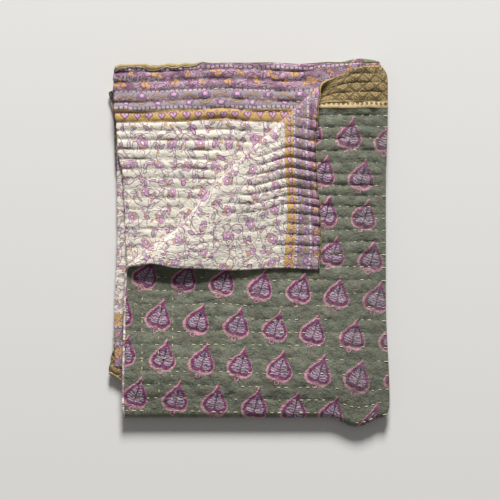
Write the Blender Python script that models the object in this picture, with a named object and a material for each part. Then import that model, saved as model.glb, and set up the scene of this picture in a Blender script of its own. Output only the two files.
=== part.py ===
"""A small quilt of two printed cloths sewn back to back. It lies folded in half across, then in thirds
along with the last third tucked inside, and its top layer's upper left corner is turned back.

A place on the flat quilt is given by how far it is across, from the side edge that ends up at the left of
the top layer, and how far along, from the end that ends up at the top. Folded, +X is right, +Y is towards
that end and +Z is up. The origin is at the middle of the underside."""

import math
from collections import namedtuple

import bmesh
import bpy
import numpy as np
from mathutils import Vector, noise

# Thickness of the cloths, and how far apart the folded layers lie
CLOTH_THICK = 0.0010
CLOTH_GAP = 0.0003
LAYER_PITCH = 0.0031
HALF_THICK = CLOTH_THICK + CLOTH_GAP / 2
NORMAL_STEP = 0.0002

# Fold across the quilt, at the right
FOLD_RADIUS = LAYER_PITCH / 2
FOLD_ARC = math.pi * FOLD_RADIUS
TOP_WIDTH = 0.2945
UNDER_WIDTH = 0.2990
WIDTH = TOP_WIDTH + FOLD_ARC + UNDER_WIDTH

# Folds along the quilt. Layers count up from the lowest, and a panel's level is between its two layers.
TOP_PANEL_LEVEL = 4.5
TUCKED_PANEL_LEVEL = 2.5
LOW_PANEL_LEVEL = 0.5
TOP_PANEL_SAG = 1.0
BOTTOM_RADIUS = (TOP_PANEL_LEVEL - TOP_PANEL_SAG - LOW_PANEL_LEVEL) / 2 * LAYER_PITCH
TUCK_RADIUS = (TUCKED_PANEL_LEVEL - LOW_PANEL_LEVEL) / 2 * LAYER_PITCH
NEAR_END_Y = 0.2011
BOTTOM_Y = -0.1957 + BOTTOM_RADIUS + FOLD_RADIUS + HALF_THICK
TUCK_Y = 0.1961 - TUCK_RADIUS - FOLD_RADIUS - HALF_THICK
TOP_PANEL = NEAR_END_Y - BOTTOM_Y
LOW_PANEL_START = TOP_PANEL + math.pi * BOTTOM_RADIUS
LOW_PANEL_END = LOW_PANEL_START + TUCK_Y - BOTTOM_Y
TUCKED_START = LOW_PANEL_END + math.pi * TUCK_RADIUS
FAR_END_Y = -0.1401
LENGTH = TUCKED_START + TUCK_Y - FAR_END_Y
SAG_START_Y = -0.143
SAG_END_Y = -0.182

# How the panels wander: outside of the right fold, and the left edges of the two layers
Section = namedtuple("Section", "along right top_edge under_edge")
SECTIONS = [
    Section(0.000, 0.1548, -0.1424, -0.1526),
    Section(0.062, 0.1548, -0.1424, -0.1503),
    Section(0.095, 0.1537, -0.1424, -0.1497),
    Section(0.122, 0.1526, -0.1424, -0.1435),
    Section(0.175, 0.1526, -0.1424, -0.1413),
    Section(0.226, 0.1526, -0.1413, -0.1390),
    Section(0.262, 0.1526, -0.1424, -0.1390),
    Section(TOP_PANEL - 0.012, 0.1570, -0.1447, -0.1380),
    Section(LOW_PANEL_START, 0.1560, -0.1440, -0.1380),
    Section(LOW_PANEL_START + 0.100, 0.1500, -0.1410, -0.1400),
    Section(LOW_PANEL_END - 0.175, 0.1480, -0.1410, -0.1450),
    Section(LOW_PANEL_END - 0.110, 0.1460, -0.1440, -0.1503),
    Section(LOW_PANEL_END - 0.082, 0.1450, -0.1470, -0.1542),
    Section(LOW_PANEL_END - 0.043, 0.1440, -0.1500, -0.1553),
    Section(LOW_PANEL_END, 0.1435, -0.1570, -0.1612),
    Section(TUCKED_START, 0.1435, -0.1560, -0.1600),
    Section(TUCKED_START + 0.030, 0.1440, -0.1370, -0.1508),
    Section(TUCKED_START + 0.170, 0.1470, -0.1360, -0.1503),
    Section(TUCKED_START + 0.285, 0.1480, -0.1360, -0.1537),
    Section(LENGTH, 0.1480, -0.1360, -0.1528),
]

# Middle of the folded stack's box, in plan, which becomes the origin
STACK_X = -0.00211
STACK_Y = 0.00308

# Slants and bulges, seen from above
UNDER_END_LEAD = 0.0029
UNDER_END_SLOPE = 0.018
UNDER_END_REACH = 0.12
UNDER_END_HUMP = 0.0028
UNDER_END_HUMP_X = -0.050
UNDER_END_HUMP_HALF_WIDTH = 0.095
TUCK_SLOPE = 0.1086
TUCK_SLOPE_FROM = 0.02
TUCK_SLOPE_TO = 0.30
TUCK_HUMP = 0.0026
TUCK_HUMP_X = 0.1270
TUCK_HUMP_HALF_WIDTH = 0.028
TUCK_CORNER_DROP = 0.0050
TUCK_CORNER_FROM = 0.120
TUCK_CORNER_TO = 0.168
BULGE_X = 0.121
BULGE_HALF_WIDTH = 0.034
BULGE_DROP = 0.0105
BULGE_REACH = 0.050
CORNER_FLARE = Vector((-0.0082, -0.0050))
CORNER_FLARE_REACH = 0.042
CORNER_ROUND = 0.0024
CORNER_ROUND_REACH = 0.010

# Corner of the top layer, turned back over a soft roll
CREASE_LOW = Vector((-0.1401, -0.0249))
CREASE_RUN = Vector((0.7294, 0.6841))
CREASE_OUT = Vector((-0.6841, 0.7294))
CREASE_RADIUS = 0.0055
CREASE_BEND = 0.0070
CREASE_BEND_AT = 0.075
CREASE_BEND_HALF_WIDTH = 0.075
CREASE_PULL = 0.0250
CREASE_PULL_FROM = 0.160
CREASE_PULL_TO = 0.310
CREASE_PULL_REACH = 0.020
FLAP_GATHER = 0.93
FLAP_GATHER_FROM = 0.155
FLAP_SHIFT = 0.0035
FLAP_SETTLE = 0.130
FLAP_REST = 0.0042
FLAP_BLEND = 0.060
FLAP_EDGE_REACH = 0.100
FLAP_EDGE_FADE = 0.014
FLAP_EDGE_DROP = 0.0071
FLAP_EDGE_DROP_X = -0.036
FLAP_EDGE_DROP_HALF_WIDTH = 0.085
FLAP_EDGE_TUCK = 0.0042
FLAP_EDGE_TUCK_X = -0.113
FLAP_EDGE_TUCK_HALF_WIDTH = 0.030
FLAP_GAPE = 0.0032
FLAP_GAPE_X = -0.080
FLAP_GAPE_HALF_WIDTH = 0.085

# Soft crown of the top panel, inside the stack's edges
CROWN_RISE = 0.0030
CROWN_UNEVEN = 0.30
CROWN_EDGE = 0.034
CROWN_LUMP = 0.120
CROWN_HALF_X = 0.150
CROWN_HALF_Y = 0.192

# Puckers between the quilting rows
FRONT_ROW_PITCH = 0.0138
FRONT_ROW_SLOPE = 0.020
FRONT_ROW_RISE = 0.0007
BACK_ROW_PITCH = 0.0107
BACK_ROW_RISE = 0.0012
ROW_FADE = 0.012


def smooth(value, low, high):
    """0 below low, 1 above high, with an eased slope between."""
    share = np.clip((value - low) / (high - low), 0, 1)
    return share * share * (3 - 2 * share)


def hump(value, middle, half_width):
    """1 at the middle, easing to 0 at half_width on both sides."""
    share = np.clip(np.abs(value - middle) / half_width, 0, 1)
    return 0.5 + 0.5 * np.cos(math.pi * share)


def section(along, column):
    """One column of the sections, eased between its rows."""
    places = np.array([row.along for row in SECTIONS])
    values = np.array([getattr(row, column) for row in SECTIONS])
    i = np.clip(np.searchsorted(places, along) - 1, 0, len(places) - 2)
    return values[i] + (values[i + 1] - values[i]) * smooth(along, places[i], places[i + 1])


def fold_across(across, along):
    """X, and the height above the middle of the panel's two layers."""
    centre = section(along, "right") - FOLD_RADIUS - HALF_THICK
    top_edge = section(along, "top_edge")
    under_edge = section(along, "under_edge")
    angle = np.clip((across - TOP_WIDTH) / FOLD_RADIUS, 0, math.pi)
    under = np.clip((across - TOP_WIDTH - FOLD_ARC) / UNDER_WIDTH, 0, 1)
    top = np.clip(1 - across / TOP_WIDTH, 0, 1)
    x = centre + FOLD_RADIUS * np.sin(angle) + (top_edge - centre) * top + (under_edge - centre) * under
    return x, FOLD_RADIUS * np.cos(angle)


def fold_along(along, x, rise):
    """Y and Z of a point at a given rise in its panel, carried round the folds."""
    low_z = HALF_THICK + LOW_PANEL_LEVEL * LAYER_PITCH
    bottom = np.clip((along - TOP_PANEL) / BOTTOM_RADIUS, 0, math.pi)
    tuck = np.clip((along - LOW_PANEL_END) / TUCK_RADIUS, 0, math.pi)
    up = np.clip(along - LOW_PANEL_START, 0, LOW_PANEL_END - LOW_PANEL_START)
    down = np.clip(along - TUCKED_START, 0, None)
    y = NEAR_END_Y - np.clip(along, 0, TOP_PANEL) + up - down
    y = y - (BOTTOM_RADIUS + rise) * np.sin(bottom) + (TUCK_RADIUS + rise) * np.sin(tuck)
    sag = TOP_PANEL_SAG * LAYER_PITCH * (1 - smooth(y, SAG_END_Y, SAG_START_Y))
    top_z = HALF_THICK + TOP_PANEL_LEVEL * LAYER_PITCH - sag + rise
    bottom_z = low_z + BOTTOM_RADIUS + (BOTTOM_RADIUS + rise) * np.cos(bottom)
    tuck_z = low_z + TUCK_RADIUS - (TUCK_RADIUS + rise) * np.cos(tuck)
    z = np.where(along < TOP_PANEL, top_z, np.where(along < LOW_PANEL_END, bottom_z, tuck_z))
    under_hump = UNDER_END_HUMP * hump(x, UNDER_END_HUMP_X, UNDER_END_HUMP_HALF_WIDTH)
    under_end = UNDER_END_LEAD + UNDER_END_SLOPE * x + under_hump
    under_end = under_end * smooth(-rise, -FOLD_RADIUS, FOLD_RADIUS)
    y = y + under_end * (1 - smooth(along, 0, UNDER_END_REACH))
    to_tuck = np.abs(along - (LOW_PANEL_END + TUCKED_START) / 2)
    tuck_end = TUCK_SLOPE * x + TUCK_HUMP * hump(x, TUCK_HUMP_X, TUCK_HUMP_HALF_WIDTH)
    tuck_end = tuck_end - TUCK_CORNER_DROP * smooth(x, TUCK_CORNER_FROM, TUCK_CORNER_TO)
    y = y + tuck_end * (1 - smooth(to_tuck, TUCK_SLOPE_FROM, TUCK_SLOPE_TO))
    to_bottom = np.abs(along - (TOP_PANEL + LOW_PANEL_START) / 2)
    bulge = BULGE_DROP * hump(x, BULGE_X, BULGE_HALF_WIDTH)
    return y - bulge * (1 - smooth(to_bottom, 0, BULGE_REACH)), z


def turn_corner(x, y, on_top):
    """Plan position and added height of the top layer, rolled back beyond its crease."""
    out = (x - CREASE_LOW.x) * CREASE_OUT.x + (y - CREASE_LOW.y) * CREASE_OUT.y
    run = (x - CREASE_LOW.x) * CREASE_RUN.x + (y - CREASE_LOW.y) * CREASE_RUN.y
    passed = np.where(on_top, out + CREASE_RADIUS, -1.0)
    angle = np.clip(passed / CREASE_RADIUS, 0, math.pi)
    back = np.clip(passed - math.pi * CREASE_RADIUS, 0, None)
    settled = smooth(back, 0, FLAP_SETTLE)
    gathered = smooth(back, 0, FLAP_BLEND)
    new_out = np.where(passed > 0, CREASE_RADIUS * (np.sin(angle) - 1) - back * FLAP_GATHER, out)
    new_run = run + gathered * ((FLAP_GATHER - 1) * (run - FLAP_GATHER_FROM) + FLAP_SHIFT)
    pulled = smooth(run, CREASE_PULL_FROM, CREASE_PULL_TO) * on_top
    new_run = new_run - CREASE_PULL * pulled * smooth(out, -CREASE_PULL_REACH, CREASE_RADIUS)
    lift = CREASE_RADIUS * (1 - np.cos(angle)) * (1 - settled) + FLAP_REST * settled
    bend = CREASE_BEND * hump(run, CREASE_BEND_AT, CREASE_BEND_HALF_WIDTH) * on_top
    new_out = new_out - bend * (1 - smooth(np.abs(new_out), 0, FLAP_BLEND))
    new_x = CREASE_LOW.x + new_out * CREASE_OUT.x + new_run * CREASE_RUN.x
    new_y = CREASE_LOW.y + new_out * CREASE_OUT.y + new_run * CREASE_RUN.y
    turned = smooth(passed, CREASE_RADIUS * math.pi / 2, CREASE_RADIUS * math.pi + FLAP_EDGE_FADE)
    return new_x, new_y, lift, turned


def flap_edge(x, across):
    """How far the turned corner's lower edge hangs down, and how far it gapes."""
    near = 1 - smooth(across, 0, FLAP_EDGE_REACH)
    drop = FLAP_EDGE_DROP * hump(x, FLAP_EDGE_DROP_X, FLAP_EDGE_DROP_HALF_WIDTH)
    tuck = FLAP_EDGE_TUCK * hump(x, FLAP_EDGE_TUCK_X, FLAP_EDGE_TUCK_HALF_WIDTH)
    gape = FLAP_GAPE * hump(x, FLAP_GAPE_X, FLAP_GAPE_HALF_WIDTH)
    return near * (drop - tuck), near * gape


def crown(x, y):
    """How far the top panel swells above the layers that it lies on."""
    lumps = [noise.noise(Vector((a / CROWN_LUMP, b / CROWN_LUMP, 0.4))) for a, b in zip(x, y)]
    across = smooth(CROWN_HALF_X - np.abs(x), 0, CROWN_EDGE)
    along = smooth(CROWN_HALF_Y - np.abs(y), 0, CROWN_EDGE)
    return CROWN_RISE * (1 + CROWN_UNEVEN * np.array(lumps)) * across * along


def puckers(across, along):
    """How far the quilting rows lift the cloth where it shows from above."""
    top_layer = (across <= TOP_WIDTH) & (along <= TOP_PANEL)
    under_layer = (across > TOP_WIDTH + FOLD_ARC) & (along <= TOP_PANEL)
    flat_x, _ = fold_across(across, along)
    out = (flat_x - CREASE_LOW.x) * CREASE_OUT.x + (NEAR_END_Y - along - CREASE_LOW.y) * CREASE_OUT.y
    front = np.abs(np.sin(math.pi * (along - FRONT_ROW_SLOPE * across) / FRONT_ROW_PITCH))
    front = front * smooth(-out, CREASE_RADIUS, CREASE_RADIUS + ROW_FADE)
    front = front * (1 - smooth(along, TOP_PANEL - ROW_FADE, TOP_PANEL))
    front = front * (1 - smooth(across, TOP_WIDTH - ROW_FADE, TOP_WIDTH))
    flap = np.abs(np.sin(math.pi * across / BACK_ROW_PITCH))
    flap = flap * smooth(out, CREASE_RADIUS, CREASE_RADIUS + ROW_FADE)
    bare = np.abs(np.sin(math.pi * along / BACK_ROW_PITCH)) * smooth(out, -CREASE_RADIUS, ROW_FADE)
    return (
        FRONT_ROW_RISE * front * top_layer
        + BACK_ROW_RISE * flap * top_layer
        + BACK_ROW_RISE * bare * under_layer
    )


def middle(across, along, is_front):
    """Places in space of the middle between the two cloths."""
    x, rise = fold_across(across, along)
    y, z = fold_along(along, x, rise)
    on_top = (across <= TOP_WIDTH) & (along <= TOP_PANEL)
    x, y, lift, turned = turn_corner(x, y, on_top)
    drop, gape = flap_edge(x, across)
    y = y - drop * turned
    lift = lift + gape * turned
    if is_front:
        to_corner = np.hypot(WIDTH - across, LENGTH - along)
        flare = 1 - smooth(to_corner, 0, CORNER_FLARE_REACH)
        x = x + CORNER_FLARE.x * flare
        y = y + CORNER_FLARE.y * flare
    rounded = CORNER_ROUND * (1 - smooth(np.hypot(WIDTH - across, along), 0, CORNER_ROUND_REACH))
    x = x + rounded
    y = y - rounded
    z = z + lift + crown(x, y) * (along <= TOP_PANEL) + puckers(across, along)
    return np.column_stack([x, y, z])


def folded(flat, is_front):
    """Places in space of points on the flat quilt, whose Z is their height off its middle."""
    across = flat[:, 0]
    along = -flat[:, 1]
    step = NORMAL_STEP
    rightward = middle(across + step, along, is_front) - middle(across - step, along, is_front)
    endward = middle(across, along - step, is_front) - middle(across, along + step, is_front)
    normal = np.cross(rightward, endward)
    normal = normal / np.linalg.norm(normal, axis=1)[:, None]
    return middle(across, along, is_front) + normal * flat[:, 2:] - (STACK_X, STACK_Y, 0)


def cut(sheet, across, along, direction, inside=None):
    """Cuts the flat sheet, or the faces inside a region, along a line square to direction."""
    faces = [f for f in sheet.faces if inside is None or inside(f.calc_center_median())]
    edges = {e for f in faces for e in f.edges}
    verts = {v for f in faces for v in f.verts}
    bmesh.ops.bisect_plane(
        sheet,
        geom=[*faces, *edges, *verts],
        dist=1e-6,
        plane_co=(across, -along, 0),
        plane_no=(*direction, 0),
    )


ACROSS = (1, 0)
ALONG = (0, 1)
FOLD_STEPS = 4
SAG_STEPS = 4
SIDE_SHARES = (0.025, 0.06, 0.12, 0.30, 0.50, 0.70, 0.88, 0.94, 0.975)
LOW_SHARES = (0.06, 0.13, 0.35, 0.60, 0.87, 0.95)
TUCKED_SHARES = (0.05, 0.12, 0.35, 0.60, 0.85, 0.94)
UNDER_LINES = (0.190, 0.178, 0.158, 0.138, 0.118, 0.105, 0.092, 0.065, 0.020, -0.030, -0.090)
FLAP_LINES = (0.012, 0.034, 0.070, 0.110)
BARE_LINES = (-CREASE_RADIUS, ROW_FADE, 0.070)
BOTTOM_STEPS = 7
TUCK_STEPS = 6
CREASE_STEPS = 6


def cut_panels(sheet):
    """Lines at the folds, and beside them where the crown starts."""
    for step in range(FOLD_STEPS + 1):
        cut(sheet, TOP_WIDTH + FOLD_ARC * step / FOLD_STEPS, 0, ACROSS)
    for start, width in ((0, TOP_WIDTH), (TOP_WIDTH + FOLD_ARC, UNDER_WIDTH)):
        for share in SIDE_SHARES:
            cut(sheet, start + width * share, 0, ACROSS)
    for step in range(BOTTOM_STEPS + 1):
        cut(sheet, 0, TOP_PANEL + math.pi * BOTTOM_RADIUS * step / BOTTOM_STEPS, ALONG)
    for step in range(TUCK_STEPS + 1):
        cut(sheet, 0, LOW_PANEL_END + math.pi * TUCK_RADIUS * step / TUCK_STEPS, ALONG)
    for step in range(SAG_STEPS + 1):
        cut(sheet, 0, NEAR_END_Y - SAG_START_Y - (SAG_END_Y - SAG_START_Y) * step / SAG_STEPS, ALONG)
    low_run = LOW_PANEL_END - LOW_PANEL_START
    for share in LOW_SHARES:
        cut(sheet, 0, LOW_PANEL_START + low_run * share, ALONG)
    tucked_run = LENGTH - TUCKED_START
    for share in TUCKED_SHARES:
        cut(sheet, 0, TUCKED_START + tucked_run * share, ALONG)


def crease_place(out):
    """A point on the flat top layer, a given way beyond the crease."""
    return (
        CREASE_LOW.x - SECTIONS[0].top_edge + CREASE_OUT.x * out,
        NEAR_END_Y - CREASE_LOW.y - CREASE_OUT.y * out,
    )


def beyond_crease(place):
    """How far a place on the flat top layer is beyond the crease."""
    across, along = crease_place(0)
    return (place.x - across) * CREASE_OUT.x + (place.y + along) * CREASE_OUT.y


def under_crease_place(out):
    """A point on the flat under layer, a given way beyond the crease above it."""
    x = CREASE_LOW.x + CREASE_OUT.x * out
    across = TOP_WIDTH + FOLD_ARC + UNDER_WIDTH - (x - SECTIONS[2].under_edge)
    return across, NEAR_END_Y - CREASE_LOW.y - CREASE_OUT.y * out


def beyond_under_crease(place):
    """How far a place on the flat under layer is beyond the crease above it."""
    across, along = under_crease_place(0)
    return (across - place.x) * CREASE_OUT.x + (place.y + along) * CREASE_OUT.y


def in_top_layer(place):
    return place.x < TOP_WIDTH and -place.y < TOP_PANEL


def in_under_layer(place):
    return place.x > TOP_WIDTH + FOLD_ARC and -place.y < TOP_PANEL


def in_bare_corner(place):
    return in_under_layer(place) and beyond_under_crease(place) > -CREASE_RADIUS


def past_bare_corner(place):
    return place.x > TOP_WIDTH and -place.y < TOP_PANEL and not in_bare_corner(place)


def cut_corner(sheet):
    """Lines along the crease, round its roll and down the flap."""
    for step in range(CREASE_STEPS + 1):
        out = CREASE_RADIUS * (math.pi * step / CREASE_STEPS - 1)
        cut(sheet, *crease_place(out), CREASE_OUT, in_top_layer)
    roll_end = CREASE_RADIUS * (math.pi - 1)
    for back in FLAP_LINES:
        cut(sheet, *crease_place(roll_end + back), CREASE_OUT, in_top_layer)
    under_out = (-CREASE_OUT.x, CREASE_OUT.y)
    for out in BARE_LINES:
        cut(sheet, *under_crease_place(out), under_out, in_under_layer)
    for y in UNDER_LINES:
        cut(sheet, 0, NEAR_END_Y - y, ALONG, past_bare_corner)


def in_front_rows(place):
    return in_top_layer(place) and beyond_crease(place) < -CREASE_RADIUS


def in_flap(place):
    return in_top_layer(place) and beyond_crease(place) > CREASE_RADIUS * (math.pi - 1)


def cut_rows(sheet):
    """Lines at the tops and the bottoms of the puckers between quilting rows."""
    row = FRONT_ROW_PITCH / 2
    slanted = Vector((FRONT_ROW_SLOPE, 1)).normalized()
    for step in range(1, int(TOP_PANEL / row) + 1):
        cut(sheet, 0, step * row, slanted, in_front_rows)
    row = BACK_ROW_PITCH / 2
    for step in range(1, int(TOP_WIDTH / row)):
        cut(sheet, step * row, 0, ACROSS, in_flap)
        cut(sheet, 0, step * row, ALONG, in_bare_corner)


def flat_quilt():
    """The quilt's outline, flat, cut into triangles along its folds, crease and rows."""
    sheet = bmesh.new()
    corners = [(0, -LENGTH), (WIDTH, -LENGTH), (WIDTH, 0), (0, 0)]
    sheet.faces.new([sheet.verts.new((x, y, 0)) for x, y in corners])
    cut_panels(sheet)
    cut_corner(sheet)
    cut_rows(sheet)
    bmesh.ops.triangulate(sheet, faces=sheet.faces[:])
    return sheet


def cloth(name, is_front, material):
    """One cloth of the quilt, as a flat slab above or below the quilt's middle that is then folded."""
    slab = flat_quilt()
    side = 1 if is_front else -1
    grown = bmesh.ops.extrude_face_region(slab, geom=slab.faces[:], use_keep_orig=True)
    outer = {v for v in grown["geom"] if isinstance(v, bmesh.types.BMVert)}
    for vert in slab.verts:
        vert.co.z = side * (HALF_THICK if vert in outer else CLOTH_GAP / 2)
    bmesh.ops.recalc_face_normals(slab, faces=slab.faces[:])
    places = folded(np.array([v.co for v in slab.verts]), is_front)
    for vert, place in zip(slab.verts, places):
        vert.co = place
    mesh = bpy.data.meshes.new(name)
    slab.to_mesh(mesh)
    slab.free()
    mesh.materials.append(material)
    piece = bpy.data.objects.new(name, mesh)
    bpy.context.scene.collection.objects.link(piece)
    return piece


def fabric(name, colour, roughness):
    material = bpy.data.materials.new(name)
    material.use_nodes = True
    shader = material.node_tree.nodes["Principled BSDF"]
    shader.inputs["Base Color"].default_value = (*colour, 1)
    shader.inputs["Roughness"].default_value = roughness
    shader.inputs["Metallic"].default_value = 0
    return material


def front_cloth():
    return cloth("front_cloth", True, fabric("green_cotton", (0.135, 0.145, 0.105), 0.9))


def back_cloth():
    return cloth("back_cloth", False, fabric("cream_cotton", (0.62, 0.55, 0.47), 0.9))


for thing in list(bpy.data.objects):
    bpy.data.objects.remove(thing)
front_cloth()
back_cloth()
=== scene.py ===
import math
from collections import namedtuple

import bmesh
import bpy
import numpy as np
from mathutils import Matrix, Vector, noise


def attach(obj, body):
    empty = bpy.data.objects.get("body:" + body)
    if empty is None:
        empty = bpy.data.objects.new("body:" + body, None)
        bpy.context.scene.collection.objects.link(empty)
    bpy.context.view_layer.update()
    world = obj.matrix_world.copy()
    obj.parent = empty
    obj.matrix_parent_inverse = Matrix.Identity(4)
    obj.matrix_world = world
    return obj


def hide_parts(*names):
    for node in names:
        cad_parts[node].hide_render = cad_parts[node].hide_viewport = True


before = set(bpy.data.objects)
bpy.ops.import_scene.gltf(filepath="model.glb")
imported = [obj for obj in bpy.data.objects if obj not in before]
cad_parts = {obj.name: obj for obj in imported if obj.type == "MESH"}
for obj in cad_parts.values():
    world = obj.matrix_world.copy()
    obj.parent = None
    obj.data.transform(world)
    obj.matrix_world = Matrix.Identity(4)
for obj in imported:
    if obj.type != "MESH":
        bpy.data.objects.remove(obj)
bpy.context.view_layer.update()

# Front cloth. One length of old cotton, printed by hand with rows of plum leaves on grey-green and with a
# tan border at each end. Its ends are turned over to the back. It is quilted to the back cloth all over, and
# the two are folded as one: in half across, then in thirds along, with the top layer's corner turned back.

CLOTH_THICK = 0.0010
CLOTH_GAP = 0.0003
CLOTH_LEVEL = (CLOTH_GAP + CLOTH_THICK) / 2
LAYER_PITCH = 0.0031
HALF_THICK = CLOTH_THICK + CLOTH_GAP / 2
NORMAL_STEP = 0.0002

FOLD_RADIUS = LAYER_PITCH / 2
FOLD_ARC = math.pi * FOLD_RADIUS
TOP_WIDTH = 0.2945
UNDER_WIDTH = 0.2990
UNDER_START = TOP_WIDTH + FOLD_ARC
WIDTH = UNDER_START + UNDER_WIDTH

TOP_PANEL_LEVEL = 4.5
TUCKED_PANEL_LEVEL = 2.5
LOW_PANEL_LEVEL = 0.5
TOP_PANEL_SAG = 1.0
BOTTOM_RADIUS = (TOP_PANEL_LEVEL - TOP_PANEL_SAG - LOW_PANEL_LEVEL) / 2 * LAYER_PITCH
TUCK_RADIUS = (TUCKED_PANEL_LEVEL - LOW_PANEL_LEVEL) / 2 * LAYER_PITCH
NEAR_END_Y = 0.2011
BOTTOM_Y = -0.1957 + BOTTOM_RADIUS + FOLD_RADIUS + HALF_THICK
TUCK_Y = 0.1961 - TUCK_RADIUS - FOLD_RADIUS - HALF_THICK
TOP_PANEL = NEAR_END_Y - BOTTOM_Y
LOW_PANEL_START = TOP_PANEL + math.pi * BOTTOM_RADIUS
LOW_PANEL_END = LOW_PANEL_START + TUCK_Y - BOTTOM_Y
TUCKED_START = LOW_PANEL_END + math.pi * TUCK_RADIUS
FAR_END_Y = -0.1401
LENGTH = TUCKED_START + TUCK_Y - FAR_END_Y
SAG_START_Y = -0.143
SAG_END_Y = -0.182

Section = namedtuple("Section", "along right top_edge under_edge")
SECTIONS = [
    Section(0.000, 0.1548, -0.1424, -0.1545),
    Section(0.045, 0.1548, -0.1424, -0.1537),
    Section(0.068, 0.1546, -0.1424, -0.1510),
    Section(0.095, 0.1537, -0.1424, -0.1497),
    Section(0.122, 0.1526, -0.1424, -0.1435),
    Section(0.175, 0.1526, -0.1424, -0.1413),
    Section(0.226, 0.1526, -0.1413, -0.1390),
    Section(0.262, 0.1526, -0.1424, -0.1390),
    Section(TOP_PANEL - 0.012, 0.1570, -0.1447, -0.1380),
    Section(LOW_PANEL_START, 0.1560, -0.1440, -0.1380),
    Section(LOW_PANEL_START + 0.100, 0.1500, -0.1410, -0.1400),
    Section(LOW_PANEL_END - 0.175, 0.1480, -0.1410, -0.1450),
    Section(LOW_PANEL_END - 0.110, 0.1460, -0.1440, -0.1503),
    Section(LOW_PANEL_END - 0.082, 0.1450, -0.1470, -0.1542),
    Section(LOW_PANEL_END - 0.043, 0.1440, -0.1500, -0.1553),
    Section(LOW_PANEL_END - 0.016, 0.1437, -0.1540, -0.1560),
    Section(LOW_PANEL_END, 0.1435, -0.1570, -0.1616),
    Section(TUCKED_START, 0.1435, -0.1560, -0.1570),
    Section(TUCKED_START + 0.009, 0.1436, -0.1460, -0.1490),
    Section(TUCKED_START + 0.030, 0.1440, -0.1370, -0.1508),
    Section(TUCKED_START + 0.170, 0.1470, -0.1360, -0.1503),
    Section(TUCKED_START + 0.285, 0.1480, -0.1360, -0.1537),
    Section(LENGTH, 0.1480, -0.1360, -0.1528),
]

STACK_X = -0.00211
STACK_Y = 0.00308
Hump = namedtuple("Hump", "size middle half_width")
UNDER_END_LEAD = 0.0029
UNDER_END_SLOPE = 0.018
UNDER_END_REACH = 0.12
UNDER_END_HUMP = Hump(0.0028, -0.050, 0.095)
LEFT_END_RISE = 0.0018
LEFT_END = (-0.150, -0.110)
TUCK_SLOPE = 0.1086
TUCK_SLOPE_FADE = (0.02, 0.30)
TUCK_HUMP = Hump(0.0026, 0.1210, 0.028)
TUCK_CORNER_DROP = 0.0050
TUCK_CORNER = (0.120, 0.168)
BULGE = Hump(0.0105, 0.121, 0.034)
BULGE_REACH = 0.050
CORNER_FLARE = Vector((-0.0082, -0.0050))
CORNER_FLARE_REACH = 0.042
CORNER_SLANT = 0.0090
CORNER_SLANT_WIDTH = 0.015
CORNER_SLANT_FADE = (0.030, 0.080)
CORNER_SLANT_REACH = 0.035
CORNER_ROUND = 0.0024
CORNER_ROUND_REACH = 0.010

CREASE_LOW = Vector((-0.1401, -0.0249))
CREASE_RUN = Vector((0.7294, 0.6841))
CREASE_OUT = Vector((-0.6841, 0.7294))
CREASE_RADIUS = 0.0055
CREASE_BEND = Hump(0.0070, 0.075, 0.075)
CREASE_PULL = 0.0250
CREASE_PULL_RUN = (0.160, 0.310)
CREASE_PULL_REACH = 0.020
FLAP_GATHER = 0.93
FLAP_GATHER_FROM = 0.155
FLAP_SHIFT = 0.0035
FLAP_SETTLE = 0.130
FLAP_REST = 0.0042
FLAP_BLEND = 0.060
FLAP_EDGE_REACH = 0.100
FLAP_EDGE_FADE = 0.014
FLAP_EDGE_DROP = Hump(0.0071, -0.036, 0.085)
FLAP_EDGE_TUCK = Hump(0.0042, -0.113, 0.030)
FLAP_GAPE = Hump(0.0032, -0.080, 0.085)

CROWN_RISE = 0.0030
CROWN_UNEVEN = 0.30
CROWN_EDGE = 0.034
CROWN_LUMP = 0.120
CROWN_HALF_X = 0.150
CROWN_HALF_Y = 0.192

FRONT_ROW_PITCH = 0.0130
FRONT_ROW_SHIFT = 0.0021
WIDER_ROWS_FROM = 0.2021
WIDER_ROW_PITCH = 0.0150
FRONT_ROW_SLOPE = 0.020
FRONT_ROW_RISE = 0.0012
BORDER_ROW_RISE = 0.0036
BORDER_ROW_SHIFT = 0.0030
BORDER_DEPTH = 0.047
BORDER_FADE = 0.004
GATHERED_ACROSS = (0.13, 0.24)
GATHERED_ALONG = (0.17, 0.30)
WRINKLE_RISE = 0.00052
FINE_WRINKLE_RISE = 0.00040
BACK_ROW_PITCH = 0.0109
BACK_ROW_SHIFT = 0.0036
BACK_ROW_RISE = 0.0023
TUCKED_ROW_SHARE = 0.7
FLAP_ROW_FAN = 0.155
FLAP_FAN_ALONG = (0.030, 0.090)
DRAWN_ACROSS = (0.020, 0.130)
DRAWN_ALONG = (0.070, 0.170)
DRAWN_END_ACROSS = (0.010, 0.030)
DRAWN_END_ALONG = (0.030, 0.065)
BARE_BUNCHED_ALONG = (0.050, 0.080)
BARE_ACROSS = (0.372, 0.392)
ROW_FADE = 0.012
ROW_WANDER = 0.0021
SCALLOP = 0.0011
SCALLOP_REACH = 0.011
LOW_EDGE_LIFT = 0.0009
LOW_EDGE_REACH = 0.022
DIPS = (
    (Hump(0.0062, -0.088, 0.062), Hump(1, -0.0316, 0.016)),
    (Hump(0.0042, 0.0850, 0.015), Hump(1, 0.1700, 0.018)),
)
FOLD_END_X = (0.100, 0.155)
FOLD_END_ROUND = 0.0085
FOLD_END_REACH = 0.022
LOW_END_ROUND = 0.0045
LOW_END_REACH = 0.016
WAVY_ACROSS = (0.490, 0.530)


def smooth(value, low, high):
    """0 below low, 1 above high, with an eased slope between."""
    share = np.clip((value - low) / (high - low), 0, 1)
    return share * share * (3 - 2 * share)


def fade(value, low, high):
    """1 below low, 0 above high, with an eased slope between."""
    return 1 - smooth(value, low, high)


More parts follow.
